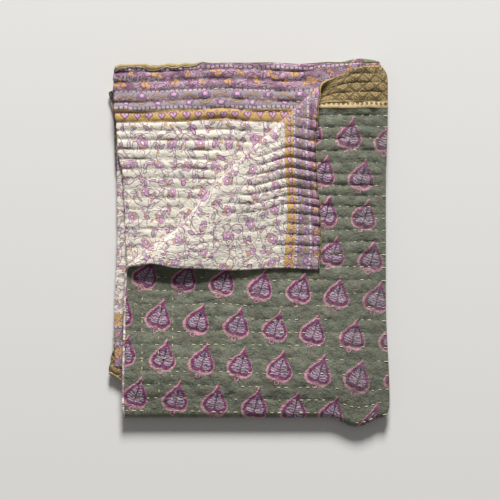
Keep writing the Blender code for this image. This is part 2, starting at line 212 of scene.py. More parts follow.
def hump(value, shape):
    """The hump's size at its middle, easing to 0 at half_width on both sides."""
    share = np.clip(np.abs(value - shape.middle) / shape.half_width, 0, 1)
    return shape.size * (0.5 + 0.5 * np.cos(math.pi * share))


def lumps(u, v, seed):
    """Soft uneven lumps from -1 to 1, about one to each unit of u and v."""
    column, row = np.floor(u).astype(np.int64), np.floor(v).astype(np.int64)
    beside, below = smooth(u - column, 0, 1), smooth(v - row, 0, 1)

    def peak(i, j):
        mixed = (i * 73856093) ^ (j * 19349663) ^ (seed * 83492791)
        mixed = ((mixed ^ (mixed >> 13)) * 1274126177) & 0x7FFFFFFF
        return ((mixed ^ (mixed >> 15)) & 0xFFFF) / 32767.5 - 1

    near = peak(column, row) * (1 - beside) + peak(column + 1, row) * beside
    far = peak(column, row + 1) * (1 - beside) + peak(column + 1, row + 1) * beside
    return near * (1 - below) + far * below


def section(along, column):
    """One column of the sections, eased between its rows."""
    places = np.array([row.along for row in SECTIONS])
    values = np.array([getattr(row, column) for row in SECTIONS])
    i = np.clip(np.searchsorted(places, along) - 1, 0, len(places) - 2)
    return values[i] + (values[i + 1] - values[i]) * smooth(along, places[i], places[i + 1])


def fold_across(across, along):
    """X, and the height above the middle of the panel's two layers."""
    centre = section(along, "right") - FOLD_RADIUS - HALF_THICK
    top_edge = section(along, "top_edge")
    under_edge = section(along, "under_edge")
    angle = np.clip((across - TOP_WIDTH) / FOLD_RADIUS, 0, math.pi)
    under = np.clip((across - UNDER_START) / UNDER_WIDTH, 0, 1)
    top = np.clip(1 - across / TOP_WIDTH, 0, 1)
    x = centre + FOLD_RADIUS * np.sin(angle) + (top_edge - centre) * top + (under_edge - centre) * under
    return x, FOLD_RADIUS * np.cos(angle)


def fold_along(along, x, rise):
    """Y and Z of a point at a given rise in its panel, carried round the folds."""
    low_z = HALF_THICK + LOW_PANEL_LEVEL * LAYER_PITCH
    bottom = np.clip((along - TOP_PANEL) / BOTTOM_RADIUS, 0, math.pi)
    tuck = np.clip((along - LOW_PANEL_END) / TUCK_RADIUS, 0, math.pi)
    up = np.clip(along - LOW_PANEL_START, 0, LOW_PANEL_END - LOW_PANEL_START)
    down = np.clip(along - TUCKED_START, 0, None)
    y = NEAR_END_Y - np.clip(along, 0, TOP_PANEL) + up - down
    y = y - (BOTTOM_RADIUS + rise) * np.sin(bottom) + (TUCK_RADIUS + rise) * np.sin(tuck)
    sag = TOP_PANEL_SAG * LAYER_PITCH * fade(y, SAG_END_Y, SAG_START_Y)
    top_z = HALF_THICK + TOP_PANEL_LEVEL * LAYER_PITCH - sag + rise
    bottom_z = low_z + BOTTOM_RADIUS + (BOTTOM_RADIUS + rise) * np.cos(bottom)
    tuck_z = low_z + TUCK_RADIUS - (TUCK_RADIUS + rise) * np.cos(tuck)
    z = np.where(along < TOP_PANEL, top_z, np.where(along < LOW_PANEL_END, bottom_z, tuck_z))
    under_end = UNDER_END_LEAD + UNDER_END_SLOPE * x + hump(x, UNDER_END_HUMP)
    under_end = (under_end + LEFT_END_RISE * fade(x, *LEFT_END)) * smooth(-rise, -FOLD_RADIUS, FOLD_RADIUS)
    y = y + under_end * fade(along, 0, UNDER_END_REACH)
    to_tuck = np.abs(along - (LOW_PANEL_END + TUCKED_START) / 2)
    tuck_end = TUCK_SLOPE * x + hump(x, TUCK_HUMP) - TUCK_CORNER_DROP * smooth(x, *TUCK_CORNER)
    y = y + tuck_end * fade(to_tuck, *TUCK_SLOPE_FADE)
    return y - hump(x, BULGE) * fade(from_bottom_fold(along), 0, BULGE_REACH), z


def from_bottom_fold(along):
    return np.abs(along - (TOP_PANEL + LOW_PANEL_START) / 2)


def from_crease(x, y, way):
    """How far a place is from the low end of the turned corner's crease, one way."""
    return (x - CREASE_LOW.x) * way.x + (y - CREASE_LOW.y) * way.y


def turn_corner(x, y, on_top):
    """Plan position and added height of the top layer, rolled back beyond its crease."""
    out = from_crease(x, y, CREASE_OUT)
    run = from_crease(x, y, CREASE_RUN)
    passed = np.where(on_top, out + CREASE_RADIUS, -1.0)
    angle = np.clip(passed / CREASE_RADIUS, 0, math.pi)
    back = np.clip(passed - math.pi * CREASE_RADIUS, 0, None)
    settled = smooth(back, 0, FLAP_SETTLE)
    gathered = smooth(back, 0, FLAP_BLEND)
    new_out = np.where(passed > 0, CREASE_RADIUS * (np.sin(angle) - 1) - back * FLAP_GATHER, out)
    new_run = run + gathered * ((FLAP_GATHER - 1) * (run - FLAP_GATHER_FROM) + FLAP_SHIFT)
    pulled = smooth(run, *CREASE_PULL_RUN) * on_top
    new_run = new_run - CREASE_PULL * pulled * smooth(out, -CREASE_PULL_REACH, CREASE_RADIUS)
    lift = CREASE_RADIUS * (1 - np.cos(angle)) * (1 - settled) + FLAP_REST * settled
    new_out = new_out - hump(run, CREASE_BEND) * on_top * fade(np.abs(new_out), 0, FLAP_BLEND)
    new_x = CREASE_LOW.x + new_out * CREASE_OUT.x + new_run * CREASE_RUN.x
    new_y = CREASE_LOW.y + new_out * CREASE_OUT.y + new_run * CREASE_RUN.y
    turned = smooth(passed, CREASE_RADIUS * math.pi / 2, CREASE_RADIUS * math.pi + FLAP_EDGE_FADE)
    return new_x, new_y, lift, turned


def crown(x, y):
    """How far the top panel swells above the layers that it lies on."""
    swell = [noise.noise(Vector((a / CROWN_LUMP, b / CROWN_LUMP, 0.4))) for a, b in zip(x, y)]
    across = smooth(CROWN_HALF_X - np.abs(x), 0, CROWN_EDGE)
    along = smooth(CROWN_HALF_Y - np.abs(y), 0, CROWN_EDGE)
    return CROWN_RISE * (1 + CROWN_UNEVEN * np.array(swell)) * across * along


def front_row(across, along):
    """Which quilting row of the green side a place is on, a whole number where it is sewn."""
    wander = ROW_WANDER * lumps(across / 0.055, along / 0.040, 1)
    place = along - FRONT_ROW_SLOPE * across + wander + FRONT_ROW_SHIFT
    wider = np.clip(place - WIDER_ROWS_FROM, 0, None)
    return (place - wider) / FRONT_ROW_PITCH + wider / WIDER_ROW_PITCH


def back_row(place, beside):
    """The same on the cream side, for rows that run along beside."""
    wander = ROW_WANDER * lumps(beside / 0.040, place / 0.030, 2)
    return (place + wander) / BACK_ROW_PITCH


def bare_row(across, along):
    return back_row(along + BACK_ROW_SHIFT, across)


def flap_row(across, along):
    """The turned corner's rows, which run along and fan out towards the end of the cloth."""
    return back_row(across * (1 - FLAP_ROW_FAN * fade(along, *FLAP_FAN_ALONG)), along)


def roll(row, beside, seed):
    """The puffed shape between two sewn rows, pinched unevenly by the stitches beside it."""
    swell = 0.78 + 0.34 * lumps(beside / 0.022, row * 0.9, seed)
    pinch = 0.18 * lumps(beside / 0.0065, row * 1.6, seed + 1)
    pinch = pinch + 0.10 * lumps(beside / 0.0036, row * 2.4, seed + 2)
    return np.abs(np.sin(math.pi * row)) ** 0.66 * (swell + pinch)


def past_crease(across, along):
    """How far a place on the flat top panel is beyond the turned corner's crease."""
    x, _ = fold_across(across, along)
    return from_crease(x, NEAR_END_Y - along, CREASE_OUT)


def front_puckers(across, along, out):
    """How far the quilting lifts the green side, in rows, in the gathered border and in fine wrinkles."""
    in_border = fade(along, BORDER_DEPTH - BORDER_FADE, BORDER_DEPTH + BORDER_FADE)
    gathered_end = smooth(across, *GATHERED_ACROSS) * fade(along, *GATHERED_ALONG)
    strength = 0.62 + 0.95 * gathered_end + 0.35 * lumps(across / 0.060, along / 0.045, 17)
    sewn = roll(front_row(across, along), across, 11) * strength
    gathered = roll(back_row(along + BORDER_ROW_SHIFT, across), across, 14)
    gathered = gathered * (0.85 + 0.4 * lumps(across / 0.020, along / 0.012, 19))
    rise = FRONT_ROW_RISE * sewn * (1 - in_border) + BORDER_ROW_RISE * gathered * in_border
    rise = rise + WRINKLE_RISE * lumps(across / 0.0075, along / 0.0052, 21)
    rise = rise + FINE_WRINKLE_RISE * (1 + gathered_end) * lumps(across / 0.0046, along / 0.0064, 22)
    rise = rise * smooth(-out, CREASE_RADIUS, CREASE_RADIUS + ROW_FADE)
    rise = rise * fade(along, TOP_PANEL - ROW_FADE, TOP_PANEL + 0.004)
    return rise * fade(across, TOP_WIDTH - ROW_FADE, TOP_WIDTH)


def puckers(across, along):
    """How far the quilting lifts the cloth where it shows from above, and spreads it at its edges."""
    top_layer = (across <= TOP_WIDTH) & (along <= TOP_PANEL)
    under_layer = (across > UNDER_START) & (along <= TOP_PANEL)
    tucked_layer = (across > UNDER_START) & (along > TUCKED_START)
    out = past_crease(across, along)
    front = front_puckers(across, along, out)
    drawn = 0.34 + 0.80 * smooth(across, *DRAWN_ACROSS) * (1 - 0.55 * smooth(along, *DRAWN_ALONG))
    drawn = drawn + 0.60 * fade(along, *DRAWN_END_ALONG) * smooth(across, *DRAWN_END_ACROSS)
    flap = roll(flap_row(across, along), along, 31) * drawn
    flap = flap * smooth(out, CREASE_RADIUS * 0.3, CREASE_RADIUS + 3 * ROW_FADE)
    bunched = 0.82 + 0.45 * fade(along, *BARE_BUNCHED_ALONG) + 0.45 * lumps(across / 0.036, along / 0.024, 44)
    beyond_flap = smooth(out, -2 * CREASE_RADIUS, ROW_FADE)
    uncovered = np.maximum(beyond_flap, smooth(across, WIDTH - 0.008, WIDTH - 0.003))
    bare = roll(bare_row(across, along), across, 41) * bunched * uncovered * smooth(across, *BARE_ACROSS)
    tucked = roll(back_row(LENGTH - along, across), across, 51) * smooth(across, WIDTH - 0.030, WIDTH - 0.018)
    back = flap * top_layer + bare * under_layer + TUCKED_ROW_SHARE * tucked * tucked_layer
    rise = front * top_layer + BACK_ROW_RISE * back
    at_side = fade(np.minimum(across, WIDTH - across), 0, SCALLOP_REACH)
    at_end = fade(along, 0, SCALLOP_REACH)
    outward = (bare * under_layer + tucked * tucked_layer - 0.5 * (under_layer | tucked_layer)) * at_side
    wavy = smooth(across, *WAVY_ACROSS)
    waves = 1.1 * lumps(across / 0.0085, along * 0, 61) + 0.8 * wavy * lumps(across / 0.0062, along * 0, 62)
    endward = ((flap - 0.5 * (out > 0)) * top_layer + waves) * at_end
    return rise, -SCALLOP * outward, SCALLOP * endward


def middle(across, along, is_front):
    """Places in space of the middle between the two cloths."""
    x, rise = fold_across(across, along)
    y, z = fold_along(along, x, rise)
    swell, sideways, endward = puckers(across, along)
    x, y = x + sideways, y + endward
    at_fold = smooth(x, *FOLD_END_X)
    x = x - at_fold * FOLD_END_ROUND * fade(along, 0, FOLD_END_REACH) ** 2.5
    x = x - at_fold * LOW_END_ROUND * fade(from_bottom_fold(along), 0, LOW_END_REACH) ** 2
    on_top = (across <= TOP_WIDTH) & (along <= TOP_PANEL)
    x, y, lift, turned = turn_corner(x, y, on_top)
    near_edge = fade(across, 0, FLAP_EDGE_REACH) * turned
    y = y - near_edge * (hump(x, FLAP_EDGE_DROP) - hump(x, FLAP_EDGE_TUCK))
    lift = lift + near_edge * hump(x, FLAP_GAPE)
    from_side = WIDTH - across
    if is_front:
        from_far_end = LENGTH - along
        flare = fade(np.hypot(from_side, from_far_end), 0, CORNER_FLARE_REACH)
        x = x + CORNER_FLARE.x * flare
        y = y + CORNER_FLARE.y * flare
        slant = smooth(from_side, 0, CORNER_SLANT_WIDTH) * fade(from_side, *CORNER_SLANT_FADE)
        y = y - CORNER_SLANT * slant * fade(from_far_end, 0, CORNER_SLANT_REACH)
    rounded = CORNER_ROUND * fade(np.hypot(from_side, along), 0, CORNER_ROUND_REACH)
    x = x + rounded
    y = y - rounded
    dip = sum(hump(x, wide) * hump(y, long) for wide, long in DIPS) * (1 - turned)
    z = z + lift + (crown(x, y) - dip) * (along <= TOP_PANEL) + swell
    in_low_panel = smooth(along, TOP_PANEL, LOW_PANEL_START) * fade(along, LOW_PANEL_END, TUCKED_START)
    to_side = np.minimum(across, from_side)
    z = z + LOW_EDGE_LIFT * in_low_panel * fade(to_side, 0, LOW_EDGE_REACH)
    return np.column_stack([x, y, z])


def unit(vectors):
    return vectors / np.linalg.norm(vectors, axis=1)[:, None]


def lay(across, along, is_front):
    """Places on the folded quilt's middle, and the ways across, to the near end and outwards there."""
    aside, ahead = across + NORMAL_STEP, along - NORMAL_STEP
    rightward = unit(middle(aside, along, is_front) - middle(across - NORMAL_STEP, along, is_front))
    endward = unit(middle(across, ahead, is_front) - middle(across, along + NORMAL_STEP, is_front))
    place = middle(across, along, is_front) - (STACK_X, STACK_Y, 0)
    return place, rightward, endward, unit(np.cross(rightward, endward))


HEM_LEVEL = -(CLOTH_GAP / 2 + CLOTH_THICK + 0.0004)
HEM_RADIUS = (CLOTH_LEVEL - HEM_LEVEL) / 2
HEM_ARC = math.pi * HEM_RADIUS
HEM_HALF_THICK = 0.0003
HEM_NARROW = 0.62
HEM_NARROW_ACROSS = (0.46, 0.53)
HEM_WIDE = 0.72
HEM_UNEVEN = 0.22
HEM_RAW = 0.95


def turned_over(reach, size):
    """Where a cloth turns over the quilt's edge: the place that it lies on, its angle, and which edge."""
    past = np.maximum(-reach, reach - size)
    angle = np.clip(past / HEM_RADIUS, 0, math.pi)
    inside = np.clip(past - HEM_ARC, 0, None)
    base = np.where(past <= 0, reach, np.where(reach < 0, inside, size - inside))
    return base, angle, np.where(reach < size / 2, -1.0, 1.0)


def cloth_face(across, along, is_front, outer):
    """One face of one cloth, with its hem: the front cloth's at the ends, the back cloth's at the sides."""
    side = 1 if is_front else -1
    if is_front:
        base_across = across
        narrow = smooth(across, UNDER_START - 0.02, UNDER_START) * fade(across, *HEM_NARROW_ACROSS)
        wide = smooth(across, *WAVY_ACROSS)
        uneven = 1 + HEM_UNEVEN * wide * lumps(across / 0.0052, along * 0, 63)
        reach = np.where(along < 0, along * (1 - HEM_NARROW * narrow + HEM_WIDE * wide) * uneven, along)
        base_along, angle, edge = turned_over(reach, LENGTH)
    else:
        raw = smooth(along, LOW_PANEL_START + 0.02, LOW_PANEL_START + 0.05)
        raw = raw * fade(along, TUCKED_START, TUCKED_START + 0.02)
        past_edge = across - np.clip(across, 0, WIDTH)
        base_across, angle, edge = turned_over(across - past_edge * HEM_RAW * raw, WIDTH)
        base_along = along
    place, rightward, endward, outward = lay(base_across, base_along, is_front)
    beyond = -endward if is_front else rightward
    half = CLOTH_THICK / 2 + (HEM_HALF_THICK - CLOTH_THICK / 2) * angle / math.pi
    reach = np.where(angle > 0, HEM_RADIUS, 0) + (half if outer else -half)
    level = np.where(angle > 0, (CLOTH_LEVEL + HEM_LEVEL) / 2, CLOTH_LEVEL)
    height = side * (level + reach * np.cos(angle))
    out = edge * reach * np.sin(angle)
    return place + outward * height[:, None] + beyond * out[:, None]


def lines(*stretches):
    """Places along one side of a sheet, from stretches of start, end and spacing."""
    places = []
    for start, end, spacing in stretches:
        count = max(1, round((end - start) / spacing))
        places.extend(start + (end - start) * i / count for i in range(count))
    return np.array(places + [stretches[-1][1]])


def between(row_a, row_b, start_a, start_b):
    """Faces between two rows of points, in triangles where the rows are spaced differently."""
    if len(row_a) == len(row_b) and np.allclose(row_a, row_b):
        i = np.arange(len(row_a) - 1)
        return np.column_stack([start_a + i, start_b + i, start_b + i + 1, start_a + i + 1]).tolist()
    faces = []
    a = b = 0
    while a < len(row_a) - 1 or b < len(row_b) - 1:
        if b == len(row_b) - 1 or (a < len(row_a) - 1 and row_a[a + 1] <= row_b[b + 1]):
            faces.append([start_a + a, start_b + b, start_a + a + 1])
            a += 1
        else:
            faces.append([start_a + a, start_b + b, start_b + b + 1])
            b += 1
    return faces


def put(name, data):
    """A new object in the scene."""
    piece = bpy.data.objects.new(name, data)
    bpy.context.scene.collection.objects.link(piece)
    return piece


def cloth(name, rows, is_front, material):
    """One cloth of the quilt as a closed sheet, from rows of an along place and its across places."""
    across = np.concatenate([row for _, row in rows])
    along = np.concatenate([np.full(len(row), place) for place, row in rows])
    starts = np.cumsum([0] + [len(row) for _, row in rows])
    up = []
    for i in range(len(rows) - 1):
        up += between(rows[i][1], rows[i + 1][1], starts[i], starts[i + 1])
    total = len(across)
    down = [[total + corner for corner in reversed(face)] for face in up]
    first = list(range(starts[0], starts[1]))
    right = [start - 1 for start in starts[2:-1]]
    last = list(range(starts[-2], starts[-1]))[::-1]
    left = list(starts[-3:0:-1])
    rim = first + right + last + left
    walls = [[a, b, total + b, total + a] for a, b in zip(rim, rim[1:] + rim[:1])]
    faces = up + down + walls
    if not is_front:
        faces = [face[::-1] for face in faces]
    outer = cloth_face(across, along, is_front, True)
    inner = cloth_face(across, along, is_front, False)
    mesh = bpy.data.meshes.new(name)
    mesh.from_pydata(np.vstack([outer, inner]), [], faces)
    flat = np.column_stack([np.tile(across, 2), np.tile(along, 2)])
    corners = np.empty(len(mesh.loops), dtype=np.int64)
    mesh.loops.foreach_get("vertex_index", corners)
    print_map = mesh.uv_layers.new(name="Cloth")
    print_map.data.foreach_set("uv", flat[corners].ravel())
    mesh.shade_smooth()
    mesh.materials.append(material)
    return put(name, mesh)


def dye(red, green, blue):
    """A colour from its brightness on screen, 0 to 255."""
    def light(value):
        value /= 255
        return value / 12.92 if value <= 0.04045 else ((value + 0.055) / 1.055) ** 2.4
    return (light(red), light(green), light(blue), 1)


def feed(taker, *values, **named):
    """Sets a node's inputs to values, or links them where they are given a socket or a measure."""
    slots = list(zip(taker.inputs, values))
    slots += [(taker.inputs[name.replace("_", " ")], value) for name, value in named.items()]
    for slot, value in slots:
        value = getattr(value, "socket", value)
        if isinstance(value, bpy.types.NodeSocket):
            taker.id_data.links.new(value, slot)
        elif value is not None:
            slot.default_value = value
    return taker


def node(tree, kind, *values, settings=(), **named):
    """A new node with its settings made and its inputs fed."""
    made = tree.nodes.new(kind)
    for name, value in settings:
        setattr(made, name, value)
    return feed(made, *values, **named)


def reckoned(operation):
    """A way to work out one operation of a measure with what it is given."""
    def work_out(measure, *others):
        return measure.worked(operation, measure, *others)
    return work_out


class Measure:
    """A number that nodes work out at each point of the cloth. In the prints, lengths are in millimetres."""

    def __init__(self, tree, socket):
        self.tree = tree
        self.socket = socket

    def worked(self, operation, *values, clamp=False):
        settings = (("operation", operation), ("use_clamp", clamp))
        return Measure(self.tree, node(self.tree, "ShaderNodeMath", *values, settings=settings).outputs[0])

    __add__ = __radd__ = reckoned("ADD")
    __sub__ = reckoned("SUBTRACT")
    __mul__ = __rmul__ = reckoned("MULTIPLY")
    __truediv__ = reckoned("DIVIDE")
    __abs__ = reckoned("ABSOLUTE")
    over = reckoned("GREATER_THAN")
    least = reckoned("MINIMUM")
    most = reckoned("MAXIMUM")
    nearest_whole = reckoned("ROUND")
    part_left = reckoned("FRACT")
    sine = reckoned("SINE")
    root = reckoned("SQRT")
    angle_from = reckoned("ARCTAN2")

    def __rsub__(self, other):
        return self.worked("SUBTRACT", other, self)

    def repeat(self, pitch):
        """The distance from the middle of the nearest repeat."""
        return self.worked("WRAP", self, pitch / 2, -pitch / 2)

    def length_with(self, other):
        return (self * self + other * other).root()

    def within(self, blur):
        """1 where this distance is below zero and 0 above, with a soft edge."""
        return self.worked("MULTIPLY_ADD", self, -1 / blur, 0.5, clamp=True)

    def band(self, half_width, blur):
        """1 where this distance is near zero, and 0 beyond half_width on both sides."""
        return (abs(self) - half_width).within(blur)

    def eased(self, low, high):
        steps = node(self.tree, "ShaderNodeMapRange", Value=self, From_Min=low, From_Max=high,
                     settings=[("interpolation_type", "SMOOTHSTEP")])
        return Measure(self.tree, steps.outputs["Result"])


class Fabric:
    """A cloth's material: its print laid down colour by colour, then its weave, creases and sheen."""

    def __init__(self, name, ground):
        self.material = bpy.data.materials.new(name)
        self.material.use_nodes = True
        self.tree = self.material.node_tree
        self.shader = self.tree.nodes["Principled BSDF"]
        self.flat = self.made("ShaderNodeUVMap", settings=[("uv_map", "Cloth")]).outputs[0]
        parts = self.made("ShaderNodeSeparateXYZ", self.flat).outputs
        self.across = Measure(self.tree, parts[0]) * 1000
        self.along = Measure(self.tree, parts[1]) * 1000
        self.colour = self.made("ShaderNodeRGB").outputs[0]
        self.colour.default_value = ground

    def made(self, kind, *values, **named):
        return node(self.tree, kind, *values, **named)

    def mottle(self, size, detail=2.0, shift=0.0, stretch=(1, 1)):
        """Soft random shading from 0 to 1, with lumps of a size in millimetres."""
        spread = self.made("ShaderNodeMapping", Vector=self.flat, Location=(shift, shift, 0),
                           Scale=(*stretch, 1))
        grain = self.made("ShaderNodeTexNoise", settings=[("noise_dimensions", "2D")],
                          Vector=spread.outputs["Vector"], Scale=1000 / size, Detail=detail)
        return Measure(self.tree, grain.outputs[0])

    def chance(self, *numbers):
        """Three random numbers from 0 to 1 for each repeat of a print."""
        place = self.made("ShaderNodeCombineXYZ", *numbers)
        grain = self.made("ShaderNodeTexWhiteNoise", settings=[("noise_dimensions", "2D")],
                          Vector=place.outputs[0])
        parts = self.made("ShaderNodeSeparateColor", grain.outputs["Color"])
        return [Measure(self.tree, socket) for socket in parts.outputs]

    def ink(self, colour, cover):
        """Lays one colour over what is printed already, where cover is 1."""
        below_and_above = [None] * 5 + [self.colour, colour]
        mix = self.made("ShaderNodeMix", cover, *below_and_above, settings=[("data_type", "RGBA")])
        self.colour = mix.outputs[2]

    def weave(self, depth, warp):
        """Cotton threads, slubs and small creases, in the bump."""
        threads = (self.across * (2 * math.pi / warp)).sine() * (self.along * (2 * math.pi / warp)).sine()
        slubs = self.mottle(2.6, 2.0, 3.1, (0.35, 1)) + self.mottle(2.4, 2.0, 7.7, (1, 0.3))
        lumps = self.mottle(6.5, 4.0, 1.7)
        long_creases = abs(self.mottle(14, 3.0, 4.6, (0.8, 1.3)) - 0.5).eased(0, 0.045)
        cross_creases = abs(self.mottle(13, 3.0, 2.3, (1.5, 0.7)) - 0.5).eased(0, 0.045)
        height = threads * 0.05 + slubs * 0.35 + lumps * 1.6 + long_creases * 0.26 + cross_creases * 0.40
        bump = self.made("ShaderNodeBump", Strength=1.0, Distance=depth, Height=height)
        feed(self.shader, Normal=bump.outputs["Normal"])
        self.ink(WORN_WHITE, (self.mottle(1.6, 3.0, 5.3) - 0.5) * 0.34)

    def finish(self, roughness):
        feed(self.shader, Base_Color=self.colour, Roughness=roughness, Sheen_Weight=0.12, Sheen_Roughness=0.6)
        return self.material


WORN_WHITE = dye(225, 214, 196)
GREEN = dye(107, 112, 94)
GREEN_FADED = dye(127, 129, 112)
GREEN_DEEP = dye(80, 86, 72)
GREEN_BROWN = dye(116, 106, 92)
PLUM = dye(138, 46, 104)
PLUM_DARK = dye(96, 32, 80)
NAVY = dye(42, 44, 70)
LEAF_PINK = dye(196, 162, 180)
LINE_PINK = dye(212, 150, 166)

LEAF_PITCH = 43.7
LEAF_ROW_PITCH = 45.1
LEAF_ROW_SLOPE = 0.10
LEAF_ROW_AT = 50.8
LEAF_COLUMN_AT = 36.0
LEAF_COLUMN_STEP = 9.4
LEAF_CENTRE = -2.7
LEAF_TILT = math.radians(16)
LEAF_TILT_SPREAD = math.radians(9)
LEAF_JITTER = 1.8
ROW_SHIFTS = (0.3, 6.8, -0.2, -1.8, -5.5, 1.5, -3.4, 1.9)
LOBE_X = 4.7
LOBE_Y = -4.9
LOBE_RADIUS = 8.1
TIP_Y = 18.6
OUTLINE = 2.5
VEIN_PITCH = 2.6


def leaf_edge(side, y):
    """Distance from the edge of a spade-shaped leaf with a drawn-out tip, below zero inside it."""
    side = side * (1 + 0.9 * y.eased(5, 20))
    long = math.hypot(LOBE_X, TIP_Y - LOBE_Y)
    lean_x, lean_y = -LOBE_X / long, (TIP_Y - LOBE_Y) / long
    taper = LOBE_RADIUS / long
    straight = math.sqrt(1 - taper * taper)
    right, up = side - LOBE_X, y - LOBE_Y
    towards_tip = right * lean_x + up * lean_y
    beside = abs(right * lean_y - up * lean_x)
    flank = beside * straight + towards_tip * taper - LOBE_RADIUS
    lobe = towards_tip.length_with(beside) - LOBE_RADIUS
    on_flank = (towards_tip * straight - beside * taper).over(0)
    return lobe + (flank - lobe) * on_flank


def row_shift(fabric, row):
    """How far each printed row was set off from the one before it, beyond the even step."""
    steps = fabric.made("ShaderNodeValToRGB", ((row + 0.5) / len(ROW_SHIFTS)).part_left())
    steps.color_ramp.interpolation = "CONSTANT"
    stops = steps.color_ramp.elements
    count = len(ROW_SHIFTS)
    lowest, spread = min(ROW_SHIFTS), max(ROW_SHIFTS) - min(ROW_SHIFTS)
    for i, shift in enumerate(ROW_SHIFTS):
        stop = stops[0] if i == 0 else stops.new(i / count)
        level = (shift - lowest) / spread
        stop.color = (level, level, level, 1)
    return Measure(fabric.tree, steps.outputs["Color"]) * spread + lowest


def print_leaves(fabric):
    """Rows of plum leaves, each with a pink outline a little out of place and a curled stem."""
    across, along = fabric.across, fabric.along
    wobble_x = (fabric.mottle(7, 2.0, 0.3) - 0.5) * 2.6
    wobble_y = (fabric.mottle(7, 2.0, 9.1) - 0.5) * 2.6
    sheared = along - across * LEAF_ROW_SLOPE - (LEAF_ROW_AT - LEAF_CENTRE)
    row = (sheared / LEAF_ROW_PITCH).nearest_whole()
    start = row * LEAF_COLUMN_STEP + LEAF_COLUMN_AT + row_shift(fabric, row)
    column = ((across - start) / LEAF_PITCH).nearest_whole()
    centre = start + column * LEAF_PITCH
    turn, left, low = fabric.chance(row, column)
    right = across - centre + (left - 0.5) * LEAF_JITTER + wobble_x
    centre_along = centre * LEAF_ROW_SLOPE + row * LEAF_ROW_PITCH + LEAF_ROW_AT
    up = centre_along - along + (low - 0.5) * LEAF_JITTER + wobble_y + (-0.5 - row).over(0) * 200
    tilt = (turn - 0.5) * LEAF_TILT_SPREAD + LEAF_TILT
    sine, cosine = tilt.sine(), (tilt + math.pi / 2).sine()
    x = right * cosine - up * sine
    y = right * sine + up * cosine
    side = abs(x)
    worn = fabric.mottle(3.2, 3.0, 2.2)
    edge = leaf_edge(side, y)
    loose = leaf_edge(abs(x + 1.0), y + 1.2)
    pink_line = (loose - 1.0).band(1.25, 0.7) * worn.eased(0.28, 0.40)
    stem = (x + 1.0).length_with(y + 17.6)
    curl = (stem - 3.3).within(0.7) * (1.2 - stem).within(0.7) * worn.eased(0.28, 0.40)
    curl_line = (stem - 3.4).band(0.4, 0.6).most((stem - 1.5).band(0.4, 0.6)) * worn.eased(0.36, 0.46)
    plum = edge.within(0.7) * (0.78 + 0.22 * worn.eased(0.30, 0.5))
    inner = (edge + OUTLINE).within(0.7)
    scribble = (fabric.mottle(4.2, 2.0, 5.9) - 0.5) * 4.2
    slant = y - side * (0.10 + 0.45 * y.eased(-6, 12)) + scribble
    veins = (abs(slant.repeat(VEIN_PITCH)) - VEIN_PITCH * 0.23).within(0.6) * (0.5 - side).within(1.2)
    spine = (side - 0.75).within(0.7) * (y - 11).within(2) * (-10.5 - y).within(2)
    dark_line = (edge + OUTLINE).band(0.55, 0.6) * worn.eased(0.32, 0.44)
    outer_line = (edge - 0.1).band(0.35, 0.6) * worn.eased(0.46, 0.56)
    fabric.ink(LINE_PINK, (pink_line.most(curl)) * 0.92)
    fabric.ink(NAVY, curl_line * 0.8)
    fabric.ink(PLUM, plum)
    fabric.ink(PLUM_DARK, plum * worn.eased(0.52, 0.66) * 0.7)
    fabric.ink(LEAF_PINK, inner * 0.95)
    fabric.ink(NAVY, inner * veins * 0.86)
    fabric.ink(NAVY, spine * inner * 0.85)
    fabric.ink(NAVY, dark_line * 0.8)
    fabric.ink(NAVY, outer_line * 0.8)


TAN = dye(170, 144, 92)
TAN_LIGHT = dye(190, 168, 122)
TAN_DARK = dye(56, 42, 18)
HEM_EDGE = dye(218, 204, 172)
DOT_BROWN = dye(92, 70, 48)
OLIVE_LINE = dye(72, 62, 32)
BORDER_HATCH_END = 37.5
BORDER_DOTS_END = 45.5
BORDER_END = 47.0
DIAMOND = 13.2
DIAMOND_WIDE = 15.0
HATCH = 2.8
DOT_PITCH = 5.3
DOT_RADIUS = 1.75


def print_tan_border(fabric):
    """Concentric diamonds in dark brown, then a row of dots and a dark line, at both ends."""
    from_end = fabric.along.least(LENGTH * 1000 - fabric.along)
    wander = (fabric.mottle(30, 1.0, 4.4) - 0.5) * 2.0
    depth = from_end + wander
    across = fabric.across + depth * 0.06
    rings = abs(across.repeat(DIAMOND_WIDE)) * (DIAMOND / DIAMOND_WIDE) + abs((depth - 2).repeat(DIAMOND))
    hatch = (abs(rings.repeat(HATCH)) - HATCH * 0.28).within(0.4)
    lattice = (rings - DIAMOND / 2).band(0.85, 0.7)
    dot = across.repeat(DOT_PITCH).length_with(depth - (BORDER_HATCH_END + BORDER_DOTS_END) / 2) - DOT_RADIUS
    worn = fabric.mottle(2.4, 3.0, 6.2)
    border = (depth - BORDER_END).within(0.8)
    fabric.ink(TAN, border)
    in_hatch = (depth - BORDER_HATCH_END).within(0.8)
    past_end = (depth + 1.2).eased(0, 1.2)
    fabric.ink(TAN_DARK, in_hatch * hatch * (0.42 + 0.30 * worn.eased(0.28, 0.46)) * past_end)
    fabric.ink(OLIVE_LINE, in_hatch * lattice * 0.85 * past_end)
    in_strip = (depth - BORDER_DOTS_END).within(0.6) * (BORDER_HATCH_END - depth).within(0.6)
    fabric.ink(TAN_LIGHT, in_strip)
    fabric.ink(DOT_BROWN, in_strip * dot.within(0.8) * worn.eased(0.28, 0.42))
    fabric.ink(OLIVE_LINE, (depth - BORDER_END + 0.6).band(0.7, 0.6))
    # A dark line on the turned hem, just before its pale edge: partly a printed line and partly painted shade
    # at the hem's edge.
    fabric.ink(OLIVE_LINE, (from_end + 2.7).within(0.3) * 0.8)
    fabric.ink(HEM_EDGE, (from_end + 3.2).within(0.2) * fabric.across.over(480))


